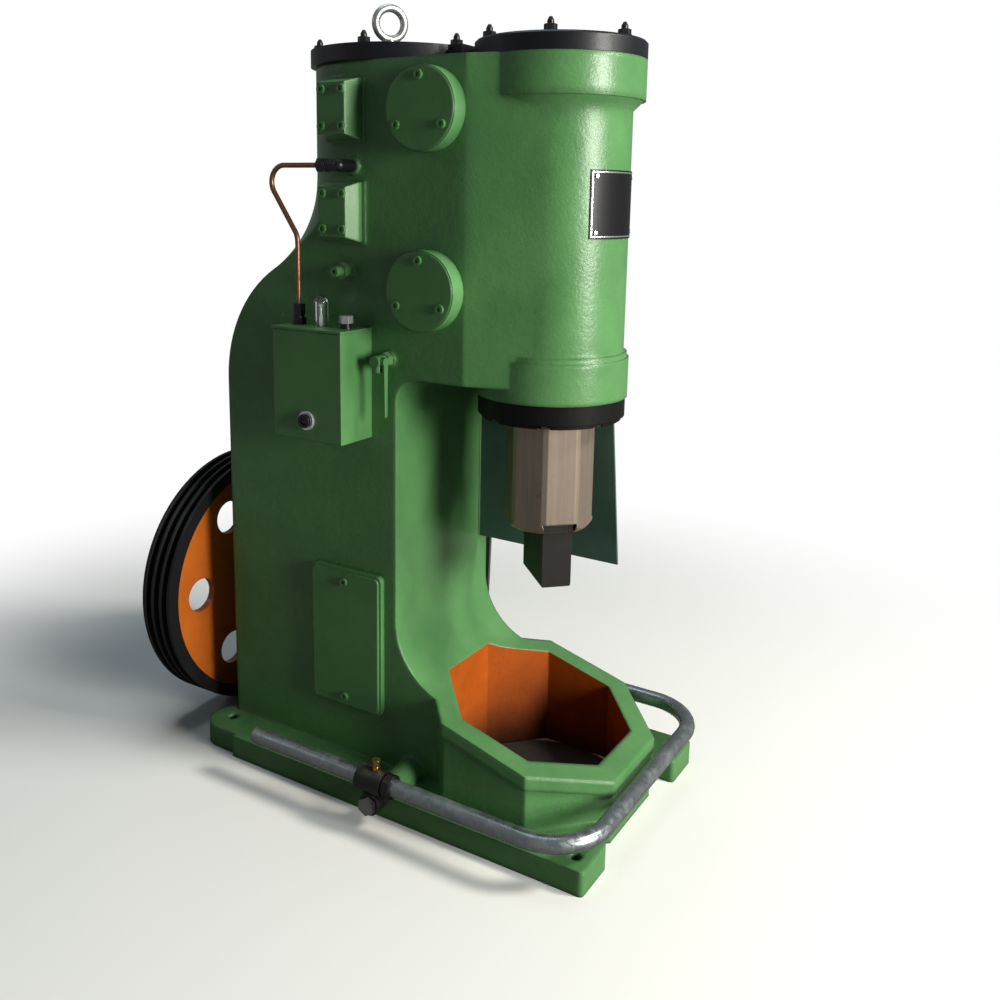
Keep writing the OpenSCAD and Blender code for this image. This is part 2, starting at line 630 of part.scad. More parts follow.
module side_plug() {
  color([0.13, 0.40, 0.18]) difference() {
    union() {
      xbar(7, -body_half - 8, -body_half + 14, plug_y, plug_z);
      translate([-body_half - 20, plug_y, plug_z]) rotate([0, 90, 0]) cylinder(r = 13, h = 14, $fn = 6);
      xbar(8, -body_half - 36, -body_half - 18, plug_y, plug_z);
    }
    xbar(3, -body_half - 37, -body_half + 20, plug_y, plug_z);
  }
}
module cock_body() {
  color([0.10, 0.25, 0.12]) translate([0, cock_y, cock_z]) difference() {
    union() {
      xbar(6, -body_half - 8, -body_half + 14, 0, 0);
      translate([-body_half - 17, 0, 0]) rotate([0, 90, 0]) cylinder(r = 12, h = 12, $fn = 6);
      xbar(9, -body_half - 40, -body_half - 16, 0, 0);
      zbar(7, -17, 0, -body_half - 30, 0);
    }
    // plug bore for the lever, along Y
    ybar(4.5 + run_fit, -20, 20, -body_half - 29, 0);
  }
}
module cock_lever() {
  color([0.16, 0.40, 0.20]) translate([-body_half - 29, cock_y, cock_z]) union() {
    ybar(4.5, -13, 13, 0, 0);
    ybar(7, -15, -9.5, 0, 0);
    face(-15, -11) polygon([[-5, 0], [5, 0], [3, -86], [-3, -86]]);
  }
}

// Ram
module octagon(af) { rotate(22.5) circle(r = af / 2 / cos(22.5), $fn = 8); }
module gland_ring() {
  color([0.05, 0.04, 0.05]) difference() {
    union() {
      zbar(low_collar_r - 3, low_z0 - gland_t + 6, low_z0);
      zbar(low_collar_r - 8, low_z0 - gland_t, low_z0);
    }
    translate([0, 0, low_z0 - gland_t - 1]) linear_extrude(height = gland_t + 2) octagon(ram_af + 2 * gap + 3);
    gland_centres() zbar(stud_r + bolt_fit, low_z0 - gland_t - 1, low_z0 + 1);
    gland_centres() zbar(10.5, low_z0 - gland_t - 1, low_z0 - gland_t + 8);
  }
}
module guide_bush() {
  color([0.68, 0.50, 0.22]) difference() {
    zbar(bush_r - 0.02, low_z0, bush_z1);
    translate([0, 0, low_z0 - 1]) linear_extrude(height = 70) octagon(ram_af + 2 * gap);
  }
}
module ram() {
  color([0.45, 0.38, 0.33]) difference() {
    union() {
      intersection() {
        translate([0, 0, ram_z0]) linear_extrude(height = ram_head - ram_z0 + 5) octagon(ram_af);
        union() {
          translate([0, 0, ram_z0]) cylinder(r1 = ram_r - 8, r2 = ram_r + 4, h = 14);
          zbar(ram_r - 1.6, ram_z0 + 9, ram_head + 6);
        }
      }
      zbar(work_bore - 0.5, ram_head, ram_top);
    }
    // dovetail slot for the die, open on both flats
    rotate([0, 0, die_turn]) side(-100, 100) let (h = die_gap_y / 2 + gap)
      polygon([[-h, ram_z0 - 1], [-h - 3, ram_z0 + dove_h + gap],
        [h + 3, ram_z0 + dove_h + gap], [h, ram_z0 - 1]]);
    // blind bore and ring grooves
    zbar(ram_core, ram_z0 + 64, ram_top + 1);
    for (z = ring_zs) translate([0, 0, z]) difference() {
      zbar(work_bore + 1, 0, 5);
      zbar(work_bore - 6, -1, 6);
    }
  }
}
ring_zs = [ram_head + 18, ram_head + 34, ram_top - 24];
module ram_rings() {
  color([0.30, 0.30, 0.31]) for (z = ring_zs) translate([0, 0, z + 0.2]) difference() {
    zbar(work_bore - run_fit, 0, 4.6);
    zbar(work_bore - 5.5, -1, 6);
  }
}
module upper_die() {
  // plain block on a dovetail tongue
  color([0.16, 0.15, 0.15]) rotate([0, 0, die_turn]) union() {
    side(-die_x / 2 - 7, die_x / 2 + 7) let (h = die_gap_y / 2)
      polygon([[-h, ram_z0 - 1], [-h - 3, ram_z0 + dove_h], [h - 9, ram_z0 + dove_h], [h - 9, ram_z0 - 1]]);
    side(-die_x / 2, die_x / 2) polygon([[-die_y / 2, ram_z0 - gap], [die_y / 2, ram_z0 - gap],
      [die_y / 2, ram_z0 - die_h + 2], [die_y / 2 - 2, ram_z0 - die_h], [-die_y / 2 + 2, ram_z0 - die_h],
      [-die_y / 2, ram_z0 - die_h + 2]]);
  }
}
module die_wedge() {
  // taper key driven along the dovetail beside the die
  color([0.33, 0.28, 0.24]) rotate([0, 0, die_turn]) side(-ram_af / 2 - 4, ram_af / 2 - 6)
    polygon([[die_gap_y / 2 - 9 + 0.05, ram_z0 + 0.4], [die_gap_y / 2 - 9 + 0.05, ram_z0 + dove_h],
      [die_gap_y / 2 + 2.7, ram_z0 + dove_h], [die_gap_y / 2 + 0.2, ram_z0 + 0.4]]);
}
module ram_guard() {
  // sheet shield hung under the far side of the cylinder block
  color([0.05, 0.16, 0.10]) difference() {
    union() {
      side(guard_x, guard_x + 4) polygon([[-76, guard_z], [column_y - 4, guard_z], [column_y - 4, block_z],
        [66, block_z], [60, block_z - 72], [-58, block_z - 72]]);
      block([guard_x - 34, 98, block_z - 4], [guard_x + 4, column_y - 6, block_z]);
    }
    for (y = [118, 172]) zbar(stud_r + bolt_fit, block_z - 10, block_z + 1, guard_x - 17, y);
    side(guard_x - 60, guard_x + 6) translate([column_y - 38, block_z - 38])
      difference() { square([60, 60]); circle(37.5); }
  }
}

// Hex bolts: gland, bearing housing and guard
module hex_bolt(grip, head = 7) {
  // head below the origin, shank along +Z
  union() {
    zbar(stud_r, -1, grip);
    translate([0, 0, -head]) cylinder(r = 9, h = head, $fn = 6);
  }
}
module hex_bolts() {
  color([0.12, 0.12, 0.13]) union() {
    gland_centres() translate([0, 0, low_z0 - gland_t + 8]) hex_bolt(gland_t + 10);
    house_centres() translate([0, rear_y + 14, 0]) rotate([90, 0, 0]) hex_bolt(30);
    for (y = [118, 172]) translate([guard_x - 17, y, block_z - 4]) hex_bolt(20);
  }
}

// Crank drive
module bearing_housing() {
  color([0.12, 0.38, 0.17]) difference() {
    union() {
      ybar(house_r, rear_y, rear_y + 14, 0, crank_z);
      ybar(house_bore - 0.1, rear_y - 22, rear_y + 1, 0, crank_z);
      ybar(54, rear_y - 40, rear_y + 42, 0, crank_z);
    }
    ybar(shaft_r + bush_t, rear_y - 41, rear_y + 30, 0, crank_z);
    ybar(shaft_r + 1.5, rear_y + 20, rear_y + 50, 0, crank_z);
    house_centres() ybar(stud_r + bolt_fit, rear_y - 1, rear_y + 20, 0, 0);
  }
}
module rear_bush() {
  color([0.68, 0.50, 0.22]) difference() {
    ybar(shaft_r + bush_t - 0.02, rear_y - 38, rear_y + 30, 0, crank_z);
    ybar(shaft_r + run_fit, rear_y - 50, rear_y + 40, 0, crank_z);
  }
}
module front_bush() {
  color([0.68, 0.50, 0.22]) difference() {
    ybar(shaft_r + bush_t - 0.02, column_y + 8, case_y0 + 18, 0, crank_z);
    ybar(shaft_r + run_fit, column_y + 8 - 1, case_y0 + 30, 0, crank_z);
  }
}
crank_in = crank_z - throw_r;            // crank pin height: the crank is shown at the bottom
web0 = rod_y - rod_w / 2 - 22; web1 = rod_y + rod_w / 2 + 22;
module crank_web(y0, y1) {
  // web with a counterweight opposite the pin
  face(y0, y1) union() {
    translate([0, crank_z - throw_r]) circle(34);
    translate([-34, crank_z - throw_r]) square([68, throw_r]);
    translate([0, crank_z]) intersection() {
      circle(96);
      translate([-82, -6]) square([164, 120]);
    }
  }
}
module crankshaft() {
  color([0.42, 0.42, 0.44]) difference() {
    union() {
      ybar(shaft_r, column_y + 12, web0 + 1, 0, crank_z);
      crank_web(web0, web0 + 20);
      ybar(pin_r, web0 + 19, web1 - 19, 0, crank_in);
      crank_web(web1 - 20, web1);
      ybar(shaft_r, web1 - 1, pulley_y0 + 1.7, 0, crank_z);
      ybar(shaft_r - 3, pulley_y0, pulley_y1 - 4, 0, crank_z);
      ybar(12, pulley_y1 - 6, pulley_y1 + 22, 0, crank_z);
    }
    // keyway
    block([-4 - bolt_fit, pulley_y0 + 10, crank_z + shaft_r - 8],
      [4 + bolt_fit, pulley_y1 - 10, crank_z + shaft_r + 5]);
  }
}
groove_d = 13;
module groove_profile() {
  // three V grooves drawn as r, y
  for (k = [-1, 0, 1]) translate([pulley_r, (pulley_y0 + pulley_y1) / 2 + k * 20])
    polygon([[1, -7.6], [1, 7.6], [-groove_d, 4.6], [-groove_d, -4.6]]);
}
module pulley() {
  color([0.75, 0.35, 0.06]) difference() {
    translate([0, 0, crank_z]) rotate([-90, 0, 0]) rotate_extrude() difference() {
      union() {
        translate([pulley_r - 22, pulley_y0]) square([22, pulley_w]);
        translate([40, pulley_y0 + 14]) square([pulley_r - 60, 14]);
        translate([shaft_r - 3 + 0.02, pulley_y0 + 2]) square([52 - shaft_r, pulley_w - 6]);
      }
      groove_profile();
    }
    for (a = [0:60:300]) translate([150 * cos(a), 0, crank_z + 150 * sin(a)])
      ybar(31, pulley_y0, pulley_y1, 0, 0);
    block([-4 - bolt_fit, pulley_y0 - 1, crank_z + 10], [4 + bolt_fit, pulley_y1 + 1, crank_z + shaft_r + 1]);
  }
}
module pulley_key() {
  color([0.5, 0.5, 0.52])
    block([-4, pulley_y0 + 11, crank_z + shaft_r - 7.9], [4, pulley_y1 - 11, crank_z + shaft_r + 0.8]);
}
module pulley_nut() {
  color([0.3, 0.3, 0.31]) difference() {
    union() {
      ybar(34, pulley_y1 - 4, pulley_y1 + 1, 0, crank_z);
      translate([0, pulley_y1 + 15, crank_z]) rotate([90, 0, 0]) cylinder(r = 21, h = 15, $fn = 6);
    }
    ybar(12 + 0.02, pulley_y1 - 10, pulley_y1 + 30, 0, crank_z);
  }
}
module con_rod() {
  color([0.36, 0.36, 0.38]) difference() {
    union() {
      intersection() {
        ybar(38, rod_y - rod_w / 2 + gap, rod_y + rod_w / 2 - gap, 0, crank_in);
        block([-60, 0, crank_in + 0.2], [60, 900, crank_in + 60]);
      }
      face(rod_y - 15, rod_y + 15) translate([-37, crank_in + 0.2]) square([74, 16]);
      face(rod_y - 9, rod_y + 9)
        polygon([[-20, crank_in + 30], [20, crank_in + 30], [13, wrist_z - 12], [-13, wrist_z - 12]]);
      ybar(wrist_eye, rod_y - 14, rod_y + 14, 0, wrist_z);
    }
    ybar(pin_r + run_fit, rod_y - 30, rod_y + 30, 0, crank_in);
    ybar(wrist_r + 0.02, rod_y - 30, rod_y + 30, 0, wrist_z);
    for (s = [-1, 1]) {
      zbar(5 + bolt_fit, crank_in - 5, crank_in + 20, s * 31, rod_y);
      zbar(9, crank_in + 16.2, crank_in + 45, s * 31, rod_y);
    }
  }
}
module con_rod_cap() {
  color([0.36, 0.36, 0.38]) difference() {
    union() {
      intersection() {
        ybar(38, rod_y - rod_w / 2 + gap, rod_y + rod_w / 2 - gap, 0, crank_in);
        block([-60, 0, crank_in - 60], [60, 900, crank_in - 0.2]);
      }
      face(rod_y - 15, rod_y + 15) translate([-37, crank_in - 14]) square([74, 13.8]);
    }
    ybar(pin_r + run_fit, rod_y - 30, rod_y + 30, 0, crank_in);
    for (s = [-1, 1]) {
      zbar(5 + bolt_fit, crank_in - 60, crank_in + 5, s * 31, rod_y);
      zbar(9, crank_in - 60, crank_in - 14, s * 31, rod_y);
    }
  }
}
module con_rod_bolts() {
  color([0.25, 0.25, 0.27]) for (s = [-1, 1]) translate([s * 31, rod_y, 0]) union() {
    zbar(5, crank_in - 16, crank_in + 24);
    translate([0, 0, crank_in - 22]) cylinder(r = 8, h = 8, $fn = 6);
    translate([0, 0, crank_in + 16.2]) cylinder(r = 8, h = 7, $fn = 6);
  }
}
module wrist_pin() { color([0.55, 0.55, 0.57]) ybar(wrist_r, rod_y - 34, rod_y + 34, 0, wrist_z); }
comp_ring_zs = concat([piston_z0 + 24], [for (d = [22, 40, 58]) piston_z0 + piston_len - d]);
module compression_piston() {
  // hollow trunk; the open inside leaves room for the whole swing of the rod
  color([0.40, 0.41, 0.42]) translate([0, axis_gap, 0]) difference() {
    zbar(comp_bore - 0.5, piston_z0, piston_z0 + piston_len);
    zbar(comp_bore - 9, piston_z0 - 1, piston_z0 + piston_len - 16);
    for (z = comp_ring_zs) translate([0, 0, z]) difference() {
      zbar(comp_bore + 1, 0, 5);
      zbar(comp_bore - 5.5, -1, 6);
    }
  }
}
module compression_rings() {
  color([0.30, 0.30, 0.31]) for (z = comp_ring_zs) translate([0, axis_gap, z + 0.2]) difference() {
    zbar(comp_bore - run_fit, 0, 4.6);
    zbar(comp_bore - 5, -1, 6);
  }
}

// Treadle and valve gear
module tube_section() { difference() { circle(tube_r); circle(tube_r - 2.6); } }
module treadle_tube() {
  yb = -tread_front + bend_r;
  color([0.55, 0.57, 0.58]) translate([0, 0, tread_z]) union() {
    for (s = [-1, 1]) translate([s * tread_half, tread_back, 0]) rotate([90, 0, 0])
      linear_extrude(height = tread_back - yb) tube_section();
    translate([-tread_half + bend_r, -tread_front, 0]) rotate([90, 0, 90])
      linear_extrude(height = 2 * (tread_half - bend_r)) tube_section();
    translate([-tread_half + bend_r, yb, 0]) rotate([0, 0, 180])
      rotate_extrude(angle = 90) translate([bend_r, 0]) tube_section();
    translate([tread_half - bend_r, yb, 0]) rotate([0, 0, -90])
      rotate_extrude(angle = 90) translate([bend_r, 0]) tube_section();
  }
}
module bracket(s) {
  // clamp sleeve on the tube over an eye keyed to the cross shaft
  xa = s * (tread_half - 16); xb = s * (tread_half + 12);
  color([0.05, 0.05, 0.05]) difference() {
    union() {
      ybar(20, pivot_y - 24, pivot_y + 24, s * tread_half, tread_z);
      xbar(18, min(xa, xb), max(xa, xb), pivot_y, pivot_z);
      block([min(xa, xb) + 4, pivot_y - 15, pivot_z], [max(xa, xb) - 4, pivot_y + 15, tread_z]);
    }
    ybar(tube_r + 0.02, pivot_y - 40, pivot_y + 40, s * tread_half, tread_z);
    xbar(cross_r + 0.02, min(xa, xb) - 5, max(xa, xb) + 5, pivot_y, pivot_z);
    zbar(4 + bolt_fit, tread_z + tube_r + 2, tread_z + 30, s * tread_half, pivot_y - 6);
  }
}
module near_bracket() bracket(-1);
module far_bracket() bracket(1);
module tube_collars() {
  color([0.05, 0.05, 0.05]) for (s = [-1, 1]) difference() {
    translate([s * tread_half, pivot_y - 27, tread_z]) rotate([90, 0, 0]) cylinder(r = 19, h = 13, $fn = 8);
    ybar(tube_r + 0.02, pivot_y - 60, pivot_y, s * tread_half, tread_z);
  }
}
module oil_nipples() {
  color([0.72, 0.55, 0.20]) for (s = [-1, 1]) translate([s * tread_half, pivot_y - 6, 0]) union() {
    zbar(4, tread_z + tube_r + 3, tread_z + 22);
    translate([0, 0, tread_z + 20.2]) cylinder(r = 6.5, h = 5, $fn = 6);
    translate([0, 0, tread_z + 25]) cylinder(r1 = 4.5, r2 = 7, h = 12);
  }
}
module cross_shaft() {
  color([0.45, 0.45, 0.47]) union() {
    xbar(cross_r, -tread_half - 14, tread_half + 14, pivot_y, pivot_z);
    for (s = [-1, 1]) translate([s * (tread_half + 16.5) - 4, pivot_y, pivot_z])
      rotate([0, 90, 0]) cylinder(r = 15, h = 8, $fn = 6);
  }
}
module lever(x, y, z, hub, bore) {
  // flat lever with a hub and a pin boss towards the rear
  a = atan2(arm_z, arm_y); l = sqrt(arm_y * arm_y + arm_z * arm_z);
  difference() {
    union() {
      translate([x, y, z]) side(0, 7) union() {
        circle(hub);
        rotate(a) translate([0, -7]) square([l, 14]);
        rotate(a) translate([l, 0]) circle(10);
      }
      xbar(5, x + 6, x + 16, y + arm_y, z + arm_z);
    }
    xbar(bore, x - 5, x + 20, y, z);
  }
}
module shaft_lever() {
  color([0.22, 0.22, 0.24]) lever(lever_x - 4, pivot_y, pivot_z, 17, cross_r + 0.02);
}
module lower_lever() {
  color([0.22, 0.22, 0.24]) lever(lever_x - 4, valve_y, valve_lo, 17, spindle_r - 3 + 0.02);
}
module upper_lever() {
  color([0.22, 0.22, 0.24]) lever(lever_x - 4, valve_y, valve_hi, 17, spindle_r - 3 + 0.02);
}
module rod_between(x, p, q, eye) {
  // flat rod with an eye at each end, in the YZ plane
  d = [q[0] - p[0], q[1] - p[1]]; l = sqrt(d[0] * d[0] + d[1] * d[1]);
  difference() {
    side(x, x + 6) union() {
      translate(p) circle(eye);
      translate(q) circle(eye);
      translate(p) rotate(atan2(d[1], d[0])) translate([0, -5]) square([l, 10]);
    }
    for (c = [p, q]) xbar(5 + run_fit, x - 5, x + 10, c[0], c[1]);
  }
}
function arm_pin(y, z) = [y + arm_y, z + arm_z];
module pull_rod() {
  color([0.50, 0.50, 0.52])
    rod_between(lever_x + 3 + gap, arm_pin(pivot_y, pivot_z), arm_pin(valve_y, valve_lo), 11);
}
module link_rod() {
  color([0.50, 0.50, 0.52])
    rod_between(lever_x + 9.5 + gap, arm_pin(valve_y, valve_lo), arm_pin(valve_y, valve_hi), 11);
}
module valve(zc) {
  // rotary plug with one window and a spindle to the far side
  color([0.48, 0.48, 0.50]) difference() {
    union() {
      xbar(valve_r - run_fit, -body_half + 9, 108, valve_y, zc);
      xbar(spindle_r, 107, lever_x - 8, valve_y, zc);
      xbar(spindle_r - 3, lever_x - 9, lever_x + 3, valve_y, zc);
    }
    block([-24, valve_y - 40, zc - 14], [24, valve_y + 40, zc + 14]);
  }
}
module lower_valve() valve(valve_lo);
module upper_valve() valve(valve_hi);

frame_casting();
working_cover();
compression_cover();
cover_studs();
eye_bolt();
upper_valve_cover();
lower_valve_cover();
upper_port_cap();
lower_port_cap();
inspection_door();
cap_screws();
nameplate();
nameplate_rivets();
lubricator_tank();
lubricator_lid();
sight_dome();
filler_plug();
level_eye();
tank_fitting();
cylinder_elbow();
oil_pipe();
side_plug();
cock_body();
cock_lever();
gland_ring();
guide_bush();
hex_bolts();
ram_guard();
bearing_housing();
rear_bush();
front_bush();
ram();
ram_rings();
upper_die();
die_wedge();
crankshaft();
pulley();
pulley_key();
pulley_nut();
con_rod();
con_rod_cap();
con_rod_bolts();
wrist_pin();
compression_piston();
compression_rings();
treadle_tube();
near_bracket();
far_bracket();
tube_collars();
oil_nipples();
cross_shaft();
shaft_lever();
pull_rod();
link_rod();
lower_valve();
upper_valve();
lower_lever();
upper_lever();
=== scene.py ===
"""Visual model of a single-frame pneumatic power hammer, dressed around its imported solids.

Every sub-assembly is a class with its sizes as fields, methods that build the small pieces that the
solids leave out, and a method that puts the finishes on. Lengths are metres, +Z is up, the ram side
faces -Y and the lubricator side faces -X.
"""

from __future__ import annotations

import logging
import math
from dataclasses import dataclass, field
from enum import Enum
from typing import Callable, Sequence

import bmesh
import bpy
from mathutils import Matrix, Vector


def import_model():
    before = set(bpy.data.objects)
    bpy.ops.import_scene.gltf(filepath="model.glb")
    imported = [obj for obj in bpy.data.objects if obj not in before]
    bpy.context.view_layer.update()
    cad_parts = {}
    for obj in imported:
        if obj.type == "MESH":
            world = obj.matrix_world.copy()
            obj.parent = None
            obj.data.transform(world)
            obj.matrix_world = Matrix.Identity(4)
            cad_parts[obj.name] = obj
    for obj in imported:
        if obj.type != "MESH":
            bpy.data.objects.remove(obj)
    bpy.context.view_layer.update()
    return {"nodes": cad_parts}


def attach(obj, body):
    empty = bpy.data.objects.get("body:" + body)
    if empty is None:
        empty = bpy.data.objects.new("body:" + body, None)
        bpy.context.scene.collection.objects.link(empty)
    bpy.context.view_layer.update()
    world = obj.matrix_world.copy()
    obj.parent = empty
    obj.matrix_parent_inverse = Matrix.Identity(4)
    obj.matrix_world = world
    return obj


log = logging.getLogger("hammer")

Colour = tuple[float, float, float, float]
Point = tuple[float, float, float]
MM = 0.001

WHITE = (1.0, 1.0, 1.0, 1.0)

# how steep a face is, by the height of its normal
UPRIGHT = 0.2
FACING_DOWN = -0.9

# sharpest corner that is shaded smooth, degrees
SMOOTH_ANGLE = 32.0

# where the soft corner of the valve chest fades in and out, metres
CHEST_FOOT = (0.80, 0.90)
CHEST_TOP = (1.10, 1.16)
CHEST_BACK = (0.16, 0.22)


def paint(code: str) -> Colour:
    """Turns a display colour code into linear values.

    Args:
        code: six hexadecimal digits.

    Returns:
        Linear red, green, blue and an alpha of 1.
    """
    values = [int(code[i : i + 2], 16) / 255 for i in (0, 2, 4)]
    linear = [v / 12.92 if v <= 0.04045 else ((v + 0.055) / 1.055) ** 2.4 for v in values]
    return (linear[0], linear[1], linear[2], 1.0)


class Slot(Enum):
    """The record's material slots, passed along with the new pieces."""

    ZINC = "zinc_steel"
    GLASS = "clear_glass"


class Grain(Enum):
    """Direction in which a machined surface carries its tool marks."""

    ALONG_Y = (1.0, 0.04, 1.0)
    ALONG_Z = (1.0, 1.0, 0.04)
    NONE = (1.0, 1.0, 1.0)


# Shader graphs


class Graph:
    """Short calls for adding and linking the nodes of one tree."""

    def __init__(self, tree: bpy.types.NodeTree) -> None:
        """Starts on an existing node tree."""
        self.tree = tree

    def add(self, kind: str, **settings: object) -> bpy.types.Node:
        """Adds a node.

        Args:
            kind: the node type without its ShaderNode prefix.
            settings: attributes to set on it.

        Returns:
            The new node.
        """
        node = self.tree.nodes.new(kind if kind.startswith("Node") else "ShaderNode" + kind)
        for name, value in settings.items():
            setattr(node, name, value)
        return node

    def feed(self, socket: bpy.types.NodeSocket, value: object) -> None:
        """Links an output to a socket, or writes a constant into it."""
        if isinstance(value, bpy.types.NodeSocket):
            self.tree.links.new(value, socket)
        else:
            socket.default_value = value

    def math(self, operation: str, a: object, b: object = 0.0, clamp: bool = False) -> bpy.types.NodeSocket:
        """Adds a math node and returns its value."""
        node = self.add("Math", operation=operation, use_clamp=clamp)
        self.feed(node.inputs[0], a)
        self.feed(node.inputs[1], b)
        return node.outputs[0]

    def mix(self, factor: object, a: object, b: object, blend: str = "MIX") -> bpy.types.NodeSocket:
        """Mixes two colours.

        Args:
            factor: how much of the second colour.
            a: the first colour.
            b: the second colour.
            blend: blend mode.

        Returns:
            The mixed colour.
        """
        node = self.add("Mix", data_type="RGBA", blend_type=blend)
        self.feed(node.inputs[0], factor)
        self.feed(node.inputs[6], a)
        self.feed(node.inputs[7], b)
        return node.outputs[2]

    def span(
        self, value: object, low: float, high: float, to_low: float = 0.0, to_high: float = 1.0
    ) -> bpy.types.NodeSocket:
        """Maps a value smoothly from one span to another."""
        node = self.add("MapRange", interpolation_type="SMOOTHSTEP")
        for index, entry in enumerate((value, low, high, to_low, to_high)):
            self.feed(node.inputs[index], entry)
        return node.outputs[0]

    def noise(
        self, vector: object, scale: object, detail: float = 3.0, roughness: float = 0.55
    ) -> bpy.types.NodeSocket:
        """Adds a noise texture and returns its value."""
        node = self.add("TexNoise")
        self.feed(node.inputs["Vector"], vector)
        self.feed(node.inputs["Scale"], scale)
        node.inputs["Detail"].default_value = detail
        node.inputs["Roughness"].default_value = roughness
        return node.outputs[0]

    def scaled(self, vector: object, factor: object) -> bpy.types.NodeSocket:
        """Multiplies a vector by another."""
        node = self.add("VectorMath", operation="MULTIPLY")
        self.feed(node.inputs[0], vector)
        self.feed(node.inputs[1], factor)
        return node.outputs[0]

    def place(self) -> bpy.types.NodeSocket:
        """Returns the object's own coordinates, which stay with the piece as it moves."""
        return self.add("TexCoord").outputs["Object"]


class Effect:
    """A shader node group with named inputs and outputs, built once."""

    def __init__(
        self, name: str, inputs: Sequence[tuple[str, str, object]], outputs: Sequence[tuple[str, str]]
    ) -> None:
        """Makes the group and its sockets.

        Args:
            name: the group's name.
            inputs: socket name, socket kind and default value of each input.
            outputs: socket name and socket kind of each output.
        """
        self.tree = bpy.data.node_groups.new(name, "ShaderNodeTree")
        for label, kind, default in inputs:
            self._socket(label, kind, "INPUT").default_value = default
        for label, kind in outputs:
            self._socket(label, kind, "OUTPUT")
        self.graph = Graph(self.tree)
        self.given = self.graph.add("NodeGroupInput").outputs
        self.result = self.graph.add("NodeGroupOutput").inputs

    def _socket(self, label: str, kind: str, way: str) -> bpy.types.NodeTreeInterfaceSocket:
        """Adds one socket to the group's interface."""
        return self.tree.interface.new_socket(name=label, in_out=way, socket_type="NodeSocket" + kind)

    def use(self, graph: Graph, **values: object) -> bpy.types.bpy_prop_collection:
        """Places the group in another tree.

        Args:
            graph: the tree that gets the group.
            values: a constant or a link for each input, by its name in lower case.

        Returns:
            The placed group's outputs.
        """
        node = graph.add("Group")
        node.node_tree = self.tree
        for socket in node.inputs:
            key = socket.name.lower().replace(" ", "_")
            if key in values:
                graph.feed(socket, values[key])
        return node.outputs


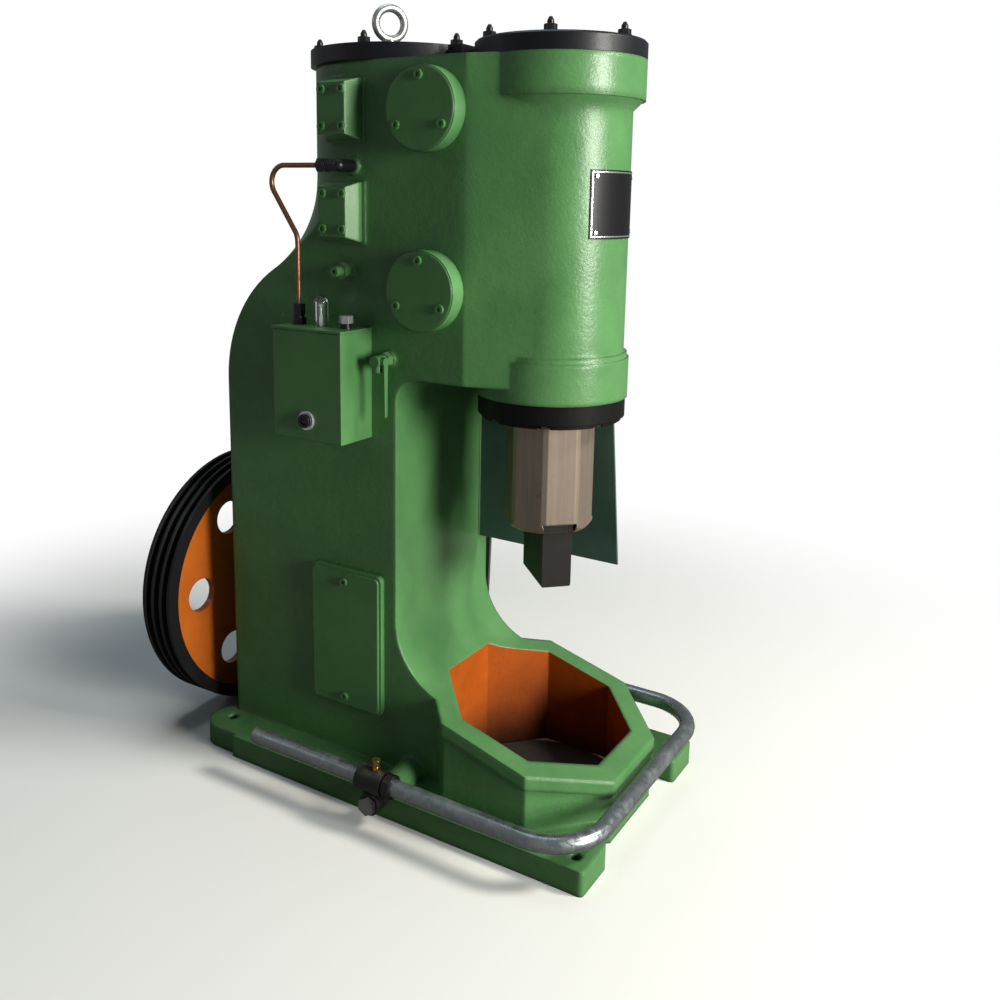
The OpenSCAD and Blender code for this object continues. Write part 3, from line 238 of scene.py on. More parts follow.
class Effects:
    """All shared surface effects."""

    def __init__(self) -> None:
        """Builds every effect once."""
        self.wear = self._wear()
        self.grain = self._grain()
        self.dust = self._dust()
        self.marks = self._marks()
        self.patches = self._patches()

    @staticmethod
    def _wear() -> Effect:
        """Rounded edges and broken wear along them."""
        effect = Effect(
            "edge_wear",
            [("Radius", "Float", 0.003), ("Breakup", "Float", 60.0), ("Gain", "Float", 6.0)],
            [("Mask", "Float"), ("Normal", "Vector")],
        )
        g, given = effect.graph, effect.given
        bevel = g.add("Bevel", samples=6)
        g.feed(bevel.inputs["Radius"], given["Radius"])
        dot = g.add("VectorMath", operation="DOT_PRODUCT")
        g.feed(dot.inputs[0], bevel.outputs[0])
        g.feed(dot.inputs[1], g.add("NewGeometry").outputs["Normal"])
        turn = g.math("SUBTRACT", g.math("SUBTRACT", 1.0, dot.outputs["Value"]), 0.12)
        turn = g.math("MULTIPLY", turn, given["Gain"], clamp=True)
        broken = g.span(g.noise(g.place(), given["Breakup"], 4.0, 0.65), 0.46, 0.66)
        g.feed(effect.result["Mask"], g.math("MULTIPLY", turn, broken, clamp=True))
        g.feed(effect.result["Normal"], bevel.outputs[0])
        return effect

    @staticmethod
    def _grain() -> Effect:
        """Pebbled casting skin under paint, with slow waves and a slow change of tone."""
        effect = Effect(
            "cast_grain",
            [("Scale", "Float", 240.0), ("Wave", "Float", 14.0), ("Wave Height", "Float", 0.5)],
            [("Height", "Float"), ("Tone", "Float")],
        )
        g, given = effect.graph, effect.given
        place = g.place()
        pebble = g.noise(place, given["Scale"], 2.0, 0.5)
        skin = g.noise(place, g.math("MULTIPLY", given["Scale"], 0.28), 3.0, 0.6)
        wave = g.noise(place, given["Wave"], 2.0, 0.5)
        fine = g.math("ADD", g.math("MULTIPLY", pebble, 0.35), g.math("MULTIPLY", skin, 0.65))
        g.feed(effect.result["Height"], g.math("ADD", fine, g.math("MULTIPLY", wave, given["Wave Height"])))
        g.feed(effect.result["Tone"], g.noise(place, g.math("MULTIPLY", given["Wave"], 0.6), 4.0, 0.6))
        return effect

    @staticmethod
    def _dust() -> Effect:
        """Dust that settles on upward faces and clings near the floor."""
        effect = Effect(
            "settled_dust",
            [("Amount", "Float", 0.4), ("Scale", "Float", 30.0), ("Splash Height", "Float", 0.12)],
            [("Mask", "Float")],
        )
        g, given = effect.graph, effect.given
        geometry = g.add("NewGeometry")
        normal = g.add("SeparateXYZ")
        g.feed(normal.inputs[0], geometry.outputs["Normal"])
        place = g.place()
        height = g.add("SeparateXYZ")
        g.feed(height.inputs[0], place)
        lying = g.span(normal.outputs["Z"], 0.55, 0.98)
        cloud = g.span(g.noise(place, given["Scale"], 5.0, 0.62), 0.38, 0.72)
        speck = g.span(g.noise(place, g.math("MULTIPLY", given["Scale"], 14.0), 2.0, 0.5), 0.60, 0.72)
        climb = g.math("DIVIDE", height.outputs["Z"], given["Splash Height"])
        low = g.math("SUBTRACT", 1.0, climb, clamp=True)
        cover = g.math("ADD", g.math("MULTIPLY", cloud, 0.7), g.math("MULTIPLY", speck, 0.5))
        film = g.math("MULTIPLY", lying, cover)
        splash = g.math("MULTIPLY", g.math("MULTIPLY", low, cloud), 0.25)
        total = g.math("MULTIPLY", g.math("ADD", film, splash), given["Amount"], clamp=True)
        g.feed(effect.result["Mask"], total)
        return effect

    @staticmethod
    def _marks() -> Effect:
        """Tool marks drawn out along one direction."""
        effect = Effect(
            "tool_marks",
            [("Stretch", "Vector", (1.0, 1.0, 0.04)), ("Scale", "Float", 500.0)],
            [("Height", "Float"), ("Tone", "Float")],
        )
        g, given = effect.graph, effect.given
        drawn = g.scaled(g.place(), given["Stretch"])
        g.feed(effect.result["Height"], g.noise(drawn, given["Scale"], 3.0, 0.6))
        g.feed(effect.result["Tone"], g.noise(drawn, g.math("MULTIPLY", given["Scale"], 0.22), 3.0, 0.65))
        return effect

    @staticmethod
    def _patches() -> Effect:
        """Irregular stains with soft edges."""
        effect = Effect(
            "stain_patches",
            [("Scale", "Float", 12.0), ("Cover", "Float", 0.5)],
            [("Mask", "Float")],
        )
        g, given = effect.graph, effect.given
        place = g.place()
        shape = g.noise(place, given["Scale"], 6.0, 0.68)
        edge = g.math("SUBTRACT", 0.78, g.math("MULTIPLY", given["Cover"], 0.42))
        over = g.math("MULTIPLY", g.math("SUBTRACT", shape, edge), 7.0, clamp=True)
        g.feed(effect.result["Mask"], over)
        return effect


# Finishes


def surface(name: str) -> tuple[bpy.types.Material, Graph, bpy.types.Node]:
    """Makes an empty material with one Principled shader.

    Args:
        name: the material's name.

    Returns:
        The material, its graph and the shader node.
    """
    material = bpy.data.materials.new(name)
    material.use_nodes = True
    material.node_tree.nodes.clear()
    graph = Graph(material.node_tree)
    shader = graph.add("BsdfPrincipled")
    output = graph.add("OutputMaterial")
    graph.feed(output.inputs["Surface"], shader.outputs[0])
    return material, graph, shader


def raised(g: Graph, height: object, relief: float, over: object) -> bpy.types.NodeSocket:
    """Adds a bump.

    Args:
        g: the material's graph.
        height: the height, in shares of the relief.
        relief: what a height of 1 measures, metres.
        over: the normal that the bump lies on.

    Returns:
        The bumped normal.
    """
    bump = g.add("Bump")
    bump.inputs["Strength"].default_value = 1.0
    bump.inputs["Distance"].default_value = relief
    g.feed(bump.inputs["Height"], height)
    g.feed(bump.inputs["Normal"], over)
    return bump.outputs[0]


@dataclass(frozen=True)
class Enamel:
    """Sprayed gloss enamel over a casting or a sheet."""

    colour: str
    deep: str
    under: str = "3a3d33"
    rough: float = 0.30
    gloss: float = 0.2
    grain: float = 240.0
    relief: float = 0.0008
    wave: float = 0.5
    edge: float = 0.003
    wear: float = 0.35
    dust: float = 0.45
    dust_colour: str = "8d8878"
    stain: float = 0.03
    coat: float = 0.2
    shine: float = 0.34
    # share, lower and upper height of a darkening towards the bottom
    bottom_darkening: tuple[float, float, float] = (0.0, 0.0, 0.1)
    soft_corner: float = 0.0

    def _radius(self, g: Graph) -> object:
        """Works out the edge radius, which grows on the valve chest where its corner is cast soft.

        Args:
            g: the material's graph.

        Returns:
            A constant, or a link where the radius varies.
        """
        if self.soft_corner <= self.edge:
            return self.edge
        at = g.add("SeparateXYZ")
        g.feed(at.inputs[0], g.place())
        above = g.span(at.outputs["Z"], *CHEST_FOOT)
        below = g.span(at.outputs["Z"], *CHEST_TOP, 1.0, 0.0)
        ahead = g.span(at.outputs["Y"], *CHEST_BACK, 1.0, 0.0)
        fore = g.math("MULTIPLY", g.math("MULTIPLY", above, below), ahead)
        return g.math("ADD", self.edge, g.math("MULTIPLY", fore, self.soft_corner - self.edge))

    def build(self, name: str, effects: Effects) -> bpy.types.Material:
        """Makes the material.

        Args:
            name: its name.
            effects: the shared effects.

        Returns:
            The material.
        """
        material, g, shader = surface(name)
        grain = effects.grain.use(g, scale=self.grain, wave=14.0, wave_height=self.wave)
        wear = effects.wear.use(g, radius=self._radius(g), breakup=55.0, gain=7.0)
        dust = effects.dust.use(g, amount=self.dust, scale=26.0, splash_height=0.14)
        stain = effects.patches.use(g, scale=9.0, cover=0.45)
        colour = g.mix(g.span(grain["Tone"], 0.32, 0.7), paint(self.deep), paint(self.colour))
        colour = g.mix(g.math("MULTIPLY", stain["Mask"], self.stain), colour, paint(self.under))
        colour = g.mix(g.math("MULTIPLY", wear["Mask"], self.wear), colour, paint(self.under))
        colour = g.mix(dust["Mask"], colour, paint(self.dust_colour))
        # darker towards the bottom, with a ragged edge
        share, low, high = self.bottom_darkening
        if share > 0:
            height = g.add("SeparateXYZ")
            g.feed(height.inputs[0], g.place())
            ragged = g.math("ADD", height.outputs["Z"], g.math("MULTIPLY", grain["Tone"], 0.08))
            colour = g.mix(g.span(ragged, low, high, share, 0.0), colour, paint("1d130c"))
        rough = g.math("ADD", self.rough, g.math("MULTIPLY", grain["Tone"], 0.12))
        rough = g.math("ADD", rough, g.math("MULTIPLY", dust["Mask"], 0.45), clamp=True)
        normal = raised(g, grain["Height"], self.relief, wear["Normal"])
        g.feed(shader.inputs["Base Color"], colour)
        g.feed(shader.inputs["Roughness"], rough)
        g.feed(shader.inputs["Normal"], normal)
        g.feed(shader.inputs["Coat Normal"], normal)
        shader.inputs["Coat Weight"].default_value = self.gloss
        shader.inputs["Coat Roughness"].default_value = self.coat
        shader.inputs["Specular IOR Level"].default_value = self.shine
        return material


@dataclass(frozen=True)
class Metal:
    """Bare metal with tool marks, tarnish and worn edges."""

    colour: str
    tarnish: str
    rough: float = 0.32
    marks: Grain = Grain.NONE
    fine: float = 420.0
    relief: float = 0.00006
    cover: float = 0.5
    patch: float = 16.0
    edge: float = 0.0012
    bright: str = "c9c9c4"
    shine: float = 0.45
    dust: float = 0.25
    metal: float = 1.0
    streak: float = 0.3
    blot: float = 0.6

    def build(self, name: str, effects: Effects) -> bpy.types.Material:
        """Makes the material.

        Args:
            name: its name.
            effects: the shared effects.

        Returns:
            The material.
        """
        material, g, shader = surface(name)
        marks = effects.marks.use(g, stretch=self.marks.value, scale=self.fine)
        patch = effects.patches.use(g, scale=self.patch, cover=self.cover)
        wear = effects.wear.use(g, radius=self.edge, breakup=90.0, gain=6.0)
        dust = effects.dust.use(g, amount=self.dust, scale=40.0, splash_height=0.05)
        streak = g.math("MULTIPLY", g.span(marks["Tone"], 0.3, 0.72), self.streak)
        colour = g.mix(streak, paint(self.colour), paint(self.tarnish))
        colour = g.mix(g.math("MULTIPLY", patch["Mask"], self.blot), colour, paint(self.tarnish))
        colour = g.mix(g.math("MULTIPLY", wear["Mask"], self.shine), colour, paint(self.bright))
        colour = g.mix(dust["Mask"], colour, paint("8e8776"))
        rough = g.math("ADD", self.rough, g.math("MULTIPLY", patch["Mask"], 0.22))
        rough = g.math("ADD", rough, g.math("MULTIPLY", marks["Tone"], 0.14))
        rough = g.math("ADD", rough, g.math("MULTIPLY", dust["Mask"], 0.4), clamp=True)
        solid = g.math("MULTIPLY", g.math("SUBTRACT", 1.0, g.math("MULTIPLY", dust["Mask"], 0.9)), self.metal)
        clean = g.math("SUBTRACT", 1.0, g.math("MULTIPLY", patch["Mask"], 0.35))
        solid = g.math("MULTIPLY", solid, clean, clamp=True)
        g.feed(shader.inputs["Base Color"], colour)
        g.feed(shader.inputs["Roughness"], rough)
        g.feed(shader.inputs["Metallic"], solid)
        g.feed(shader.inputs["Normal"], raised(g, marks["Height"], self.relief, wear["Normal"]))
        return material


@dataclass(frozen=True)
class Spangle:
    """Hot-dip zinc with its crystals, dulled and scuffed."""

    colour: str = "9ca4a8"
    dull: str = "666e71"
    rough: float = 0.24
    crystals: float = 130.0
    relief: float = 0.00008

    def build(self, name: str, effects: Effects) -> bpy.types.Material:
        """Makes the material.

        Args:
            name: its name.
            effects: the shared effects.

        Returns:
            The material.
        """
        material, g, shader = surface(name)
        cell = g.add("TexVoronoi", feature="F1")
        g.feed(cell.inputs["Vector"], g.place())
        cell.inputs["Scale"].default_value = self.crystals
        facet = g.add("SeparateColor")
        g.feed(facet.inputs[0], cell.outputs["Color"])
        patch = effects.patches.use(g, scale=11.0, cover=0.62)
        wear = effects.wear.use(g, radius=0.001, breakup=70.0, gain=5.0)
        dust = effects.dust.use(g, amount=0.45, scale=34.0, splash_height=0.10)
        colour = g.mix(g.math("MULTIPLY", facet.outputs[0], 0.35), paint(self.colour), paint(self.dull))
        colour = g.mix(g.math("MULTIPLY", patch["Mask"], 0.5), colour, paint(self.dull))
        colour = g.mix(g.math("MULTIPLY", dust["Mask"], 0.5), colour, paint("84806f"))
        rough = g.math("ADD", self.rough, g.math("MULTIPLY", facet.outputs[1], 0.16))
        rough = g.math("ADD", rough, g.math("MULTIPLY", patch["Mask"], 0.15), clamp=True)
        ripple = g.noise(g.place(), 90.0, 3.0, 0.6)
        g.feed(shader.inputs["Base Color"], colour)
        g.feed(shader.inputs["Roughness"], rough)
        solid = g.math("SUBTRACT", 0.9, g.math("MULTIPLY", patch["Mask"], 0.35), clamp=True)
        g.feed(shader.inputs["Metallic"], solid)
        g.feed(shader.inputs["Normal"], raised(g, ripple, self.relief, wear["Normal"]))
        return material


@dataclass(frozen=True)
class Glass:
    """Clear moulded glass."""

    tint: str = "e9f1ec"
    rough: float = 0.03

    def build(self, name: str, effects: Effects) -> bpy.types.Material:
        """Makes the material.

        Args:
            name: its name.
            effects: the shared effects.

        Returns:
            The material.
        """
        material, g, shader = surface(name)
        film = effects.patches.use(g, scale=60.0, cover=0.5)
        g.feed(shader.inputs["Base Color"], paint(self.tint))
        g.feed(shader.inputs["Roughness"], g.math("ADD", self.rough, g.math("MULTIPLY", film["Mask"], 0.12)))
        shader.inputs["Transmission Weight"].default_value = 1.0
        shader.inputs["IOR"].default_value = 1.46
        shader.inputs["Metallic"].default_value = 0.0
        return material


class Finishes:
    """Every finish on the machine, made once and handed out by name."""

    BOOK: dict[str, object] = {
        "green": Enamel(
            "548650", "4a7a48", under="34523a", edge=0.009, wear=0.25, dust=0.12, soft_corner=0.04,
        ),
        "green_sheet": Enamel(
            "548650", "4a7a48", under="34523a", grain=420.0, relief=0.00012, wave=0.25, edge=0.003,
            wear=0.25, dust=0.2,
        ),
        "green_cap": Enamel(
            "548650", "4a7a48", under="34523a", grain=320.0, relief=0.00022, wave=0.35, edge=0.004,
            wear=0.25, dust=0.12,
        ),
        "green_small": Enamel(
            "548650", "4a7a48", under="34523a", grain=420.0, relief=0.00010, wave=0.2, edge=0.0008,
            dust=0.3,
        ),
        "black": Enamel(
            "0b0e18", "07090f", under="25262a", rough=0.4, gloss=0.12, shine=0.3, grain=380.0,
            relief=0.00022, edge=0.002, dust=0.18, dust_colour="6f7480",
        ),
        "black_gland": Enamel(
            "0e0e0d", "090909", under="1f1e1c", rough=0.5, gloss=0.04, grain=300.0, relief=0.0003,
            edge=0.002, dust=0.08, shine=0.12,
        ),
        "black_small": Enamel(
            "101114", "0b0c0f", under="3b3936", rough=0.36, grain=500.0, relief=0.0001, edge=0.0006,
            dust=0.3,
        ),
        "dark_green": Enamel(
            "48665c", "3c584d", under="4c6058", rough=0.26, grain=300.0, relief=0.0001, wave=0.3,
            edge=0.001, wear=0.2, dust=0.2,
        ),
        "orange": Enamel(
            "c8661c", "b95c18", under="85501f", rough=0.38, gloss=0.25, grain=300.0, relief=0.0003,
            edge=0.003, dust=0.12,
        ),
        "orange_well": Enamel(
            "a94f10", "95450c", under="6a3c1c", rough=0.5, gloss=0.08, shine=0.2, grain=170.0,
            relief=0.0008, edge=0.003, dust=0.05, stain=0.3, bottom_darkening=(0.9, 0.03, 0.2),
        ),
        "rim_black": Enamel(
            "0c0d10", "08090b", under="2a2826", rough=0.45, gloss=0.05, shine=0.3, grain=500.0,
            relief=0.0001, edge=0.0006, wear=0.3, dust=0.15,
        ),
        "plate_black": Enamel(
            "0c0d12", "090a0d", under="1c1c1c", rough=0.42, gloss=0.08, shine=0.2, grain=700.0,
            relief=0.00004, edge=0.0005, wear=0.15, dust=0.1,
        ),
        "primer": Enamel(
            "6b3f2e", "533024", under="4a4038", rough=0.7, gloss=0.0, grain=200.0, relief=0.0006,
            edge=0.002, dust=0.1,
        ),
        "zinc": Spangle(),
        "zinc_bright": Metal(
            "b9bcba", "8b8e8c", rough=0.26, fine=300.0, cover=0.3, edge=0.0008, metal=0.85,
        ),
        "ram": Metal(
            "928376", "50463d", rough=0.36, marks=Grain.ALONG_Z, fine=420.0, relief=0.00004, cover=0.42,
            patch=14.0, edge=0.003, bright="cdbfb0", shine=0.7, dust=0.0, metal=0.65, streak=0.3,
            blot=0.5,
        ),
        "die": Metal(
            "2a2826", "1d1b1a", rough=0.5, fine=200.0, relief=0.0002, cover=0.4, patch=22.0,
            edge=0.0018, bright="8d8880", dust=0.1, metal=0.7,
        ),
        "machined": Metal("8f9092", "66645f", rough=0.3, fine=480.0, cover=0.4, edge=0.0008),
        "turned": Metal(
            "9a9b9d", "6d6a64", rough=0.26, marks=Grain.ALONG_Y, fine=600.0, cover=0.35, edge=0.0008,
        ),
        "iron": Metal("6f7072", "4b4845", rough=0.42, fine=300.0, cover=0.5, edge=0.001, metal=0.9),
        "dark_steel": Metal(
            "3c3d40", "2a2826", rough=0.4, fine=260.0, cover=0.5, edge=0.0008, metal=0.9,
        ),
        "bronze": Metal(
            "a97c3c", "6d4f28", rough=0.34, fine=500.0, cover=0.45, edge=0.0008, bright="d9b778",
        ),
        "brass": Metal(
            "c39a4e", "7f5f2c", rough=0.24, fine=700.0, cover=0.45, patch=60.0, edge=0.0005,
            bright="ead08d",
        ),
        "plug_zinc": Metal(
            "a9adab", "6f7372", rough=0.3, fine=700.0, cover=0.3, patch=70.0, edge=0.0005,
            bright="d5d8d6", metal=0.6,
        ),
        "copper": Metal(
            "8a6446", "4f4030", rough=0.3, fine=500.0, cover=0.55, patch=40.0, edge=0.0005,
            bright="c99a74", dust=0.15, metal=0.8,
        ),
        # painted highlight: half-metal whitish chrome with white edges, so the level eye's rim looks bright
        # under any light
        "chrome": Metal(
            "e2e6ea", "a9aeb4", rough=0.12, fine=900.0, relief=0.00001, cover=0.2, patch=60.0,
            edge=0.0008, dust=0.02, bright="ffffff", metal=0.55,
        ),
        "glass": Glass(),
        "oil_glass": Glass(tint="4a3c22", rough=0.05),
    }

    def __init__(self) -> None:
        """Prepares the shared effects and an empty shelf of materials."""
        self.effects = Effects()
        self.made: dict[str, bpy.types.Material] = {}

    def __getitem__(self, key: str) -> bpy.types.Material:
        """Returns a finish's material and makes it at its first use."""
        if key not in self.made:
            self.made[key] = self.BOOK[key].build("finish_" + key, self.effects)
        return self.made[key]


# Pieces


@dataclass
class Shop:
    """What every sub-assembly needs: the solids and the finishes."""

    nodes: dict[str, bpy.types.Object]
    finishes: Finishes

    def dress(self, finish: str, *names: str) -> None:
        """Puts one finish on whole solids."""
        for name in names:
            mesh = self.nodes[name].data
            mesh.materials.clear()
            mesh.materials.append(self.finishes[finish])

    def zone(self, name: str, finishes: Sequence[str], pick: Callable[[Vector, Vector], int]) -> None:
        """Gives one solid several finishes, face by face.

        Args:
            name: the solid.
            finishes: the finishes in the order of their numbers.
            pick: takes a face's centre and normal and returns the number of its finish.
        """
        mesh = self.nodes[name].data
        mesh.materials.clear()
        for finish in finishes:
            mesh.materials.append(self.finishes[finish])
        for face in mesh.polygons:
            face.material_index = pick(face.center, face.normal)

    def add(
        self, name: str, mesh: bpy.types.Mesh, finish: str, body: str, slot: Slot, smooth: bool = True
    ) -> bpy.types.Object:
        """Adds a new piece that rides on a body.

        Args:
            name: the piece's name.
            mesh: its mesh, in the row frame.
            finish: its finish.
            body: the body that it moves with.
            slot: the record's slot for it; not used.
            smooth: whether its faces are shaded smooth.

        Returns:
            The new object.
        """
        piece = bpy.data.objects.new(name, mesh)
        bpy.context.scene.collection.objects.link(piece)
        mesh.materials.append(self.finishes[finish])
        for face in mesh.polygons:
            face.use_smooth = smooth
        if smooth:
            mesh.set_sharp_from_angle(angle=math.radians(SMOOTH_ANGLE))
        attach(piece, body)
        log.info("piece %s: %d faces on %s", name, len(mesh.polygons), body)
        return piece


def lathe(profile: Sequence[tuple[float, float]], steps: int = 32) -> bmesh.types.BMesh:
    """Turns a closed outline about the Z axis.

    Args:
        profile: radius and height of each corner. A radius of 0 lies on the axis.
        steps: how many faces go round.

    Returns:
        The turned solid.
    """
    solid = bmesh.new()
    rings: list[list[bmesh.types.BMVert]] = []
    for radius, height in profile:
        if radius <= 0:
            rings.append([solid.verts.new((0, 0, height))])
        else:
            turns = [2 * math.pi * k / steps for k in range(steps)]
            around = [(radius * math.cos(t), radius * math.sin(t), height) for t in turns]
            rings.append([solid.verts.new(at) for at in around])
    pairs = list(zip(rings, rings[1:]))
    if profile[0][0] > 0 or profile[-1][0] > 0:
        pairs.append((rings[-1], rings[0]))
    for low, high in pairs:
        for k in range(steps):
            n = (k + 1) % steps
            corners = [low[k % len(low)], low[n % len(low)], high[n % len(high)], high[k % len(high)]]
            unique = list(dict.fromkeys(corners))
            if len(unique) > 2:
                solid.faces.new(unique)
    bmesh.ops.recalc_face_normals(solid, faces=solid.faces)
    return solid


def settle(solid: bmesh.types.BMesh, name: str, move: Matrix) -> bpy.types.Mesh:
    """Moves a built solid into place and turns it into a mesh.

    Args:
        solid: what was built.
        name: the mesh's name.
        move: where it goes.

    Returns:
        The finished mesh.
    """
    bmesh.ops.transform(solid, matrix=move, verts=solid.verts)
    mesh = bpy.data.meshes.new(name)
    solid.to_mesh(mesh)
    solid.free()
    return mesh


@dataclass
class FrameCasting:
    """The one-piece frame: base, anvil well, column and both cylinders."""

    well_x: float = 145 * MM
    well_y: float = 139 * MM
    well_centre: float = 6 * MM
    well_top: float = 0.33
    case_x: float = 114.5 * MM
    case_y: tuple[float, float] = (0.225, 0.538)
    case_z: tuple[float, float] = (0.04, 0.72)
    bores: tuple[tuple[float, float], ...] = ((0.0, 0.0955), (0.289, 0.0955))
    bore_floor: float = 0.66
    slack: float = 1 * MM
    underside: float = 0.5 * MM

    def in_well(self, at: Vector, normal: Vector) -> bool:
        """Tells whether a face is an inner wall of the anvil well."""
        y = at.y - self.well_centre
        beside = abs(at.x) < self.well_x + self.slack and abs(y) < self.well_y + self.slack
        upright = abs(normal.z) < UPRIGHT
        return beside and at.z < self.well_top and upright and normal.x * at.x + normal.y * y < 0

    def zone(self, at: Vector, normal: Vector) -> int:
        """Picks a finish number: 0 green, 1 orange, 2 machined bore, 3 primer."""
        if self.in_well(at, normal):
            return 1
        for centre, radius in self.bores:
            if math.hypot(at.x, at.y - centre) < radius and at.z > self.bore_floor:
                return 2
        (front, back), (low, high) = self.case_y, self.case_z
        if abs(at.x) < self.case_x and front < at.y < back and low < at.z < high:
            return 3
        if at.z < self.underside and normal.z < FACING_DOWN:
            return 3
        return 0

    def build(self, shop: Shop) -> None:
        """Dresses the casting and the parts that belong to it."""
        shop.zone("frame_casting", ["green", "orange_well", "iron", "primer"], self.zone)
        shop.dress("green", "bearing_housing")
        shop.dress("dark_green", "ram_guard")
        shop.dress("black_gland", "gland_ring")
        shop.dress("bronze", "guide_bush", "front_bush", "rear_bush")
        shop.dress("dark_steel", "hex_bolts")
        log.info("frame casting dressed")


@dataclass
class Covers:
    """Cylinder covers with their studs and the lifting eye."""

    def build(self, shop: Shop) -> None:
        """Dresses the covers."""
        shop.dress("black", "working_cover", "compression_cover")
        shop.dress("black_small", "cover_studs")
        shop.dress("zinc_bright", "eye_bolt")
        log.info("covers dressed")


@dataclass
class ValveChest:
    """Round valve caps, rectangular port caps, the crankcase door and their screws."""

    def build(self, shop: Shop) -> None:
        """Dresses the caps."""
        shop.dress("green_cap", "upper_valve_cover", "lower_valve_cover", "upper_port_cap", "lower_port_cap")
        shop.dress("green_cap", "inspection_door")
        shop.dress("green_small", "cap_screws", "side_plug")
        log.info("valve chest dressed")


@dataclass
class NamePlate:
    """Blank curved plate with a light border and four rivets."""

    radius: float = 111.5 * MM
    start: float = -127.0
    sweep: float = 74.0
    low: float = 0.922
    high: float = 1.020
    inset: float = 2.2 * MM
    band: float = 2.0 * MM
    lift: float = 0.35 * MM
    steps: int = 40

    def border(self) -> bpy.types.Mesh:
        """Builds the raised border that follows the curved plate.

        Returns:
            The border's mesh.
        """
        solid = bmesh.new()
        shrink = math.degrees(self.inset / self.radius)
        narrow = math.degrees(self.band / self.radius)
        a0, a1 = self.start + shrink, self.start + self.sweep - shrink
        z0, z1 = self.low + self.inset, self.high - self.inset
        spans = [
            (a0, a1, z0, z0 + self.band, self.steps),
            (a0, a1, z1 - self.band, z1, self.steps),
            (a0, a0 + narrow, z0 + self.band, z1 - self.band, 1),
            (a1 - narrow, a1, z0 + self.band, z1 - self.band, 1),
        ]
        for start, end, bottom, top, steps in spans:
            self._strip(solid, start, end, bottom, top, steps)
        bmesh.ops.recalc_face_normals(solid, faces=solid.faces)
        return settle(solid, "nameplate_border", Matrix.Identity(4))

    def _strip(
        self, solid: bmesh.types.BMesh, start: float, end: float, bottom: float, top: float, steps: int
    ) -> None:
        """Adds one closed strip of the border."""
        rings = []
        for k in range(steps + 1):
            turn = math.radians(start + (end - start) * k / steps)
            ring = []
            for radius, height in ((0.0, bottom), (self.lift, bottom), (self.lift, top), (0.0, top)):
                reach = self.radius + radius
                ring.append(solid.verts.new((reach * math.cos(turn), reach * math.sin(turn), height)))
            rings.append(ring)
        for low, high in zip(rings, rings[1:]):
            for k in range(4):
                n = (k + 1) % 4
                solid.faces.new((low[k], low[n], high[n], high[k]))
        solid.faces.new(rings[0])
        solid.faces.new(list(reversed(rings[-1])))

    def build(self, shop: Shop) -> None:
        """Dresses the plate and adds its border."""
        shop.dress("plate_black", "nameplate")
        shop.dress("zinc_bright", "nameplate_rivets")
        shop.add("nameplate_border", self.border(), "zinc_bright", "frame", Slot.ZINC, smooth=False)


@dataclass
class Lubricator:
    """Oil tank on the column with its dome, plug, window and copper pipe."""

    pipe_x: float = -176 * MM
    dome_y: float = 318 * MM
    tank_top: float = 0.776
    neck: float = 7.9 * MM
    eye: Point = (-0.2235, 0.314, 0.632)
    eye_radius: float = 6.2 * MM
    # radius inside which the level eye is painted dark, a painted reflection
    eye_dark_reflection_radius: float = 11.4 * MM

    def drip_tube(self) -> bpy.types.Mesh:
        """Builds the small tube and drip nozzle that stand inside the glass dome."""
        outline = [(0, -2), (3.2, -2), (3.2, 14), (2.0, 17), (2.0, 30), (3.4, 31), (3.4, 33.5), (0, 34)]
        solid = lathe([(r * MM, z * MM) for r, z in outline], 20)
        return settle(solid, "drip_tube", Matrix.Translation((self.pipe_x, self.dome_y, self.tank_top)))

    def window(self) -> bpy.types.Mesh:
        """Builds the domed glass of the level window."""
        r = self.eye_radius / MM
        outline = [(0, -1.2), (r, -1.2), (r, 0.2), (r * 0.8, 1.3), (r * 0.45, 2.1), (0, 2.4)]
        solid = lathe([(a * MM, z * MM) for a, z in outline], 28)
        move = Matrix.Translation(self.eye) @ Matrix.Rotation(math.radians(-90), 4, "Y")
        return settle(solid, "level_window", move)

    def plug_zone(self, at: Vector, normal: Vector) -> int:
        """Picks a finish number on the filler plug: 0 hexagon head, 1 dark neck."""
        return int(at.z < self.tank_top + self.neck)

    def eye_reflection_zone(self, at: Vector, normal: Vector) -> int:
        """Picks a finish number on the level window: 0 bright rim, a painted highlight, 1 dark inner ring, a
        painted dark reflection.
        """
        return int(math.hypot(at.y - self.eye[1], at.z - self.eye[2]) < self.eye_dark_reflection_radius)

    def build(self, shop: Shop) -> None:
        """Dresses the lubricator and adds what shows through its glass."""
        shop.dress("green_sheet", "lubricator_tank", "lubricator_lid")
        shop.dress("glass", "sight_dome")
        shop.zone("filler_plug", ["plug_zinc", "black_small"], self.plug_zone)
        # painted reflection: the level eye's chrome is split into a bright rim and a dark inner ring
        shop.zone("level_eye", ["chrome", "dark_steel"], self.eye_reflection_zone)
        shop.dress("black_small", "tank_fitting", "cylinder_elbow")
        shop.dress("copper", "oil_pipe")
        shop.add("drip_tube", self.drip_tube(), "zinc_bright", "frame", Slot.ZINC)
        shop.add("level_window", self.window(), "oil_glass", "frame", Slot.GLASS)


@dataclass
class DrainCock:
    """Small cock with its hanging lever."""

    def build(self, shop: Shop) -> None:
        """Dresses the cock."""
        shop.dress("green_small", "cock_body", "cock_lever")
        log.info("drain cock dressed")


@dataclass
class RamUnit:
    """Octagonal ram with its rings, die and wedge."""

    def build(self, shop: Shop) -> None:
        """Dresses the ram and die."""
        shop.dress("ram", "ram")
        shop.dress("die", "upper_die", "die_wedge")
        shop.dress("iron", "ram_rings")
        log.info("ram dressed")


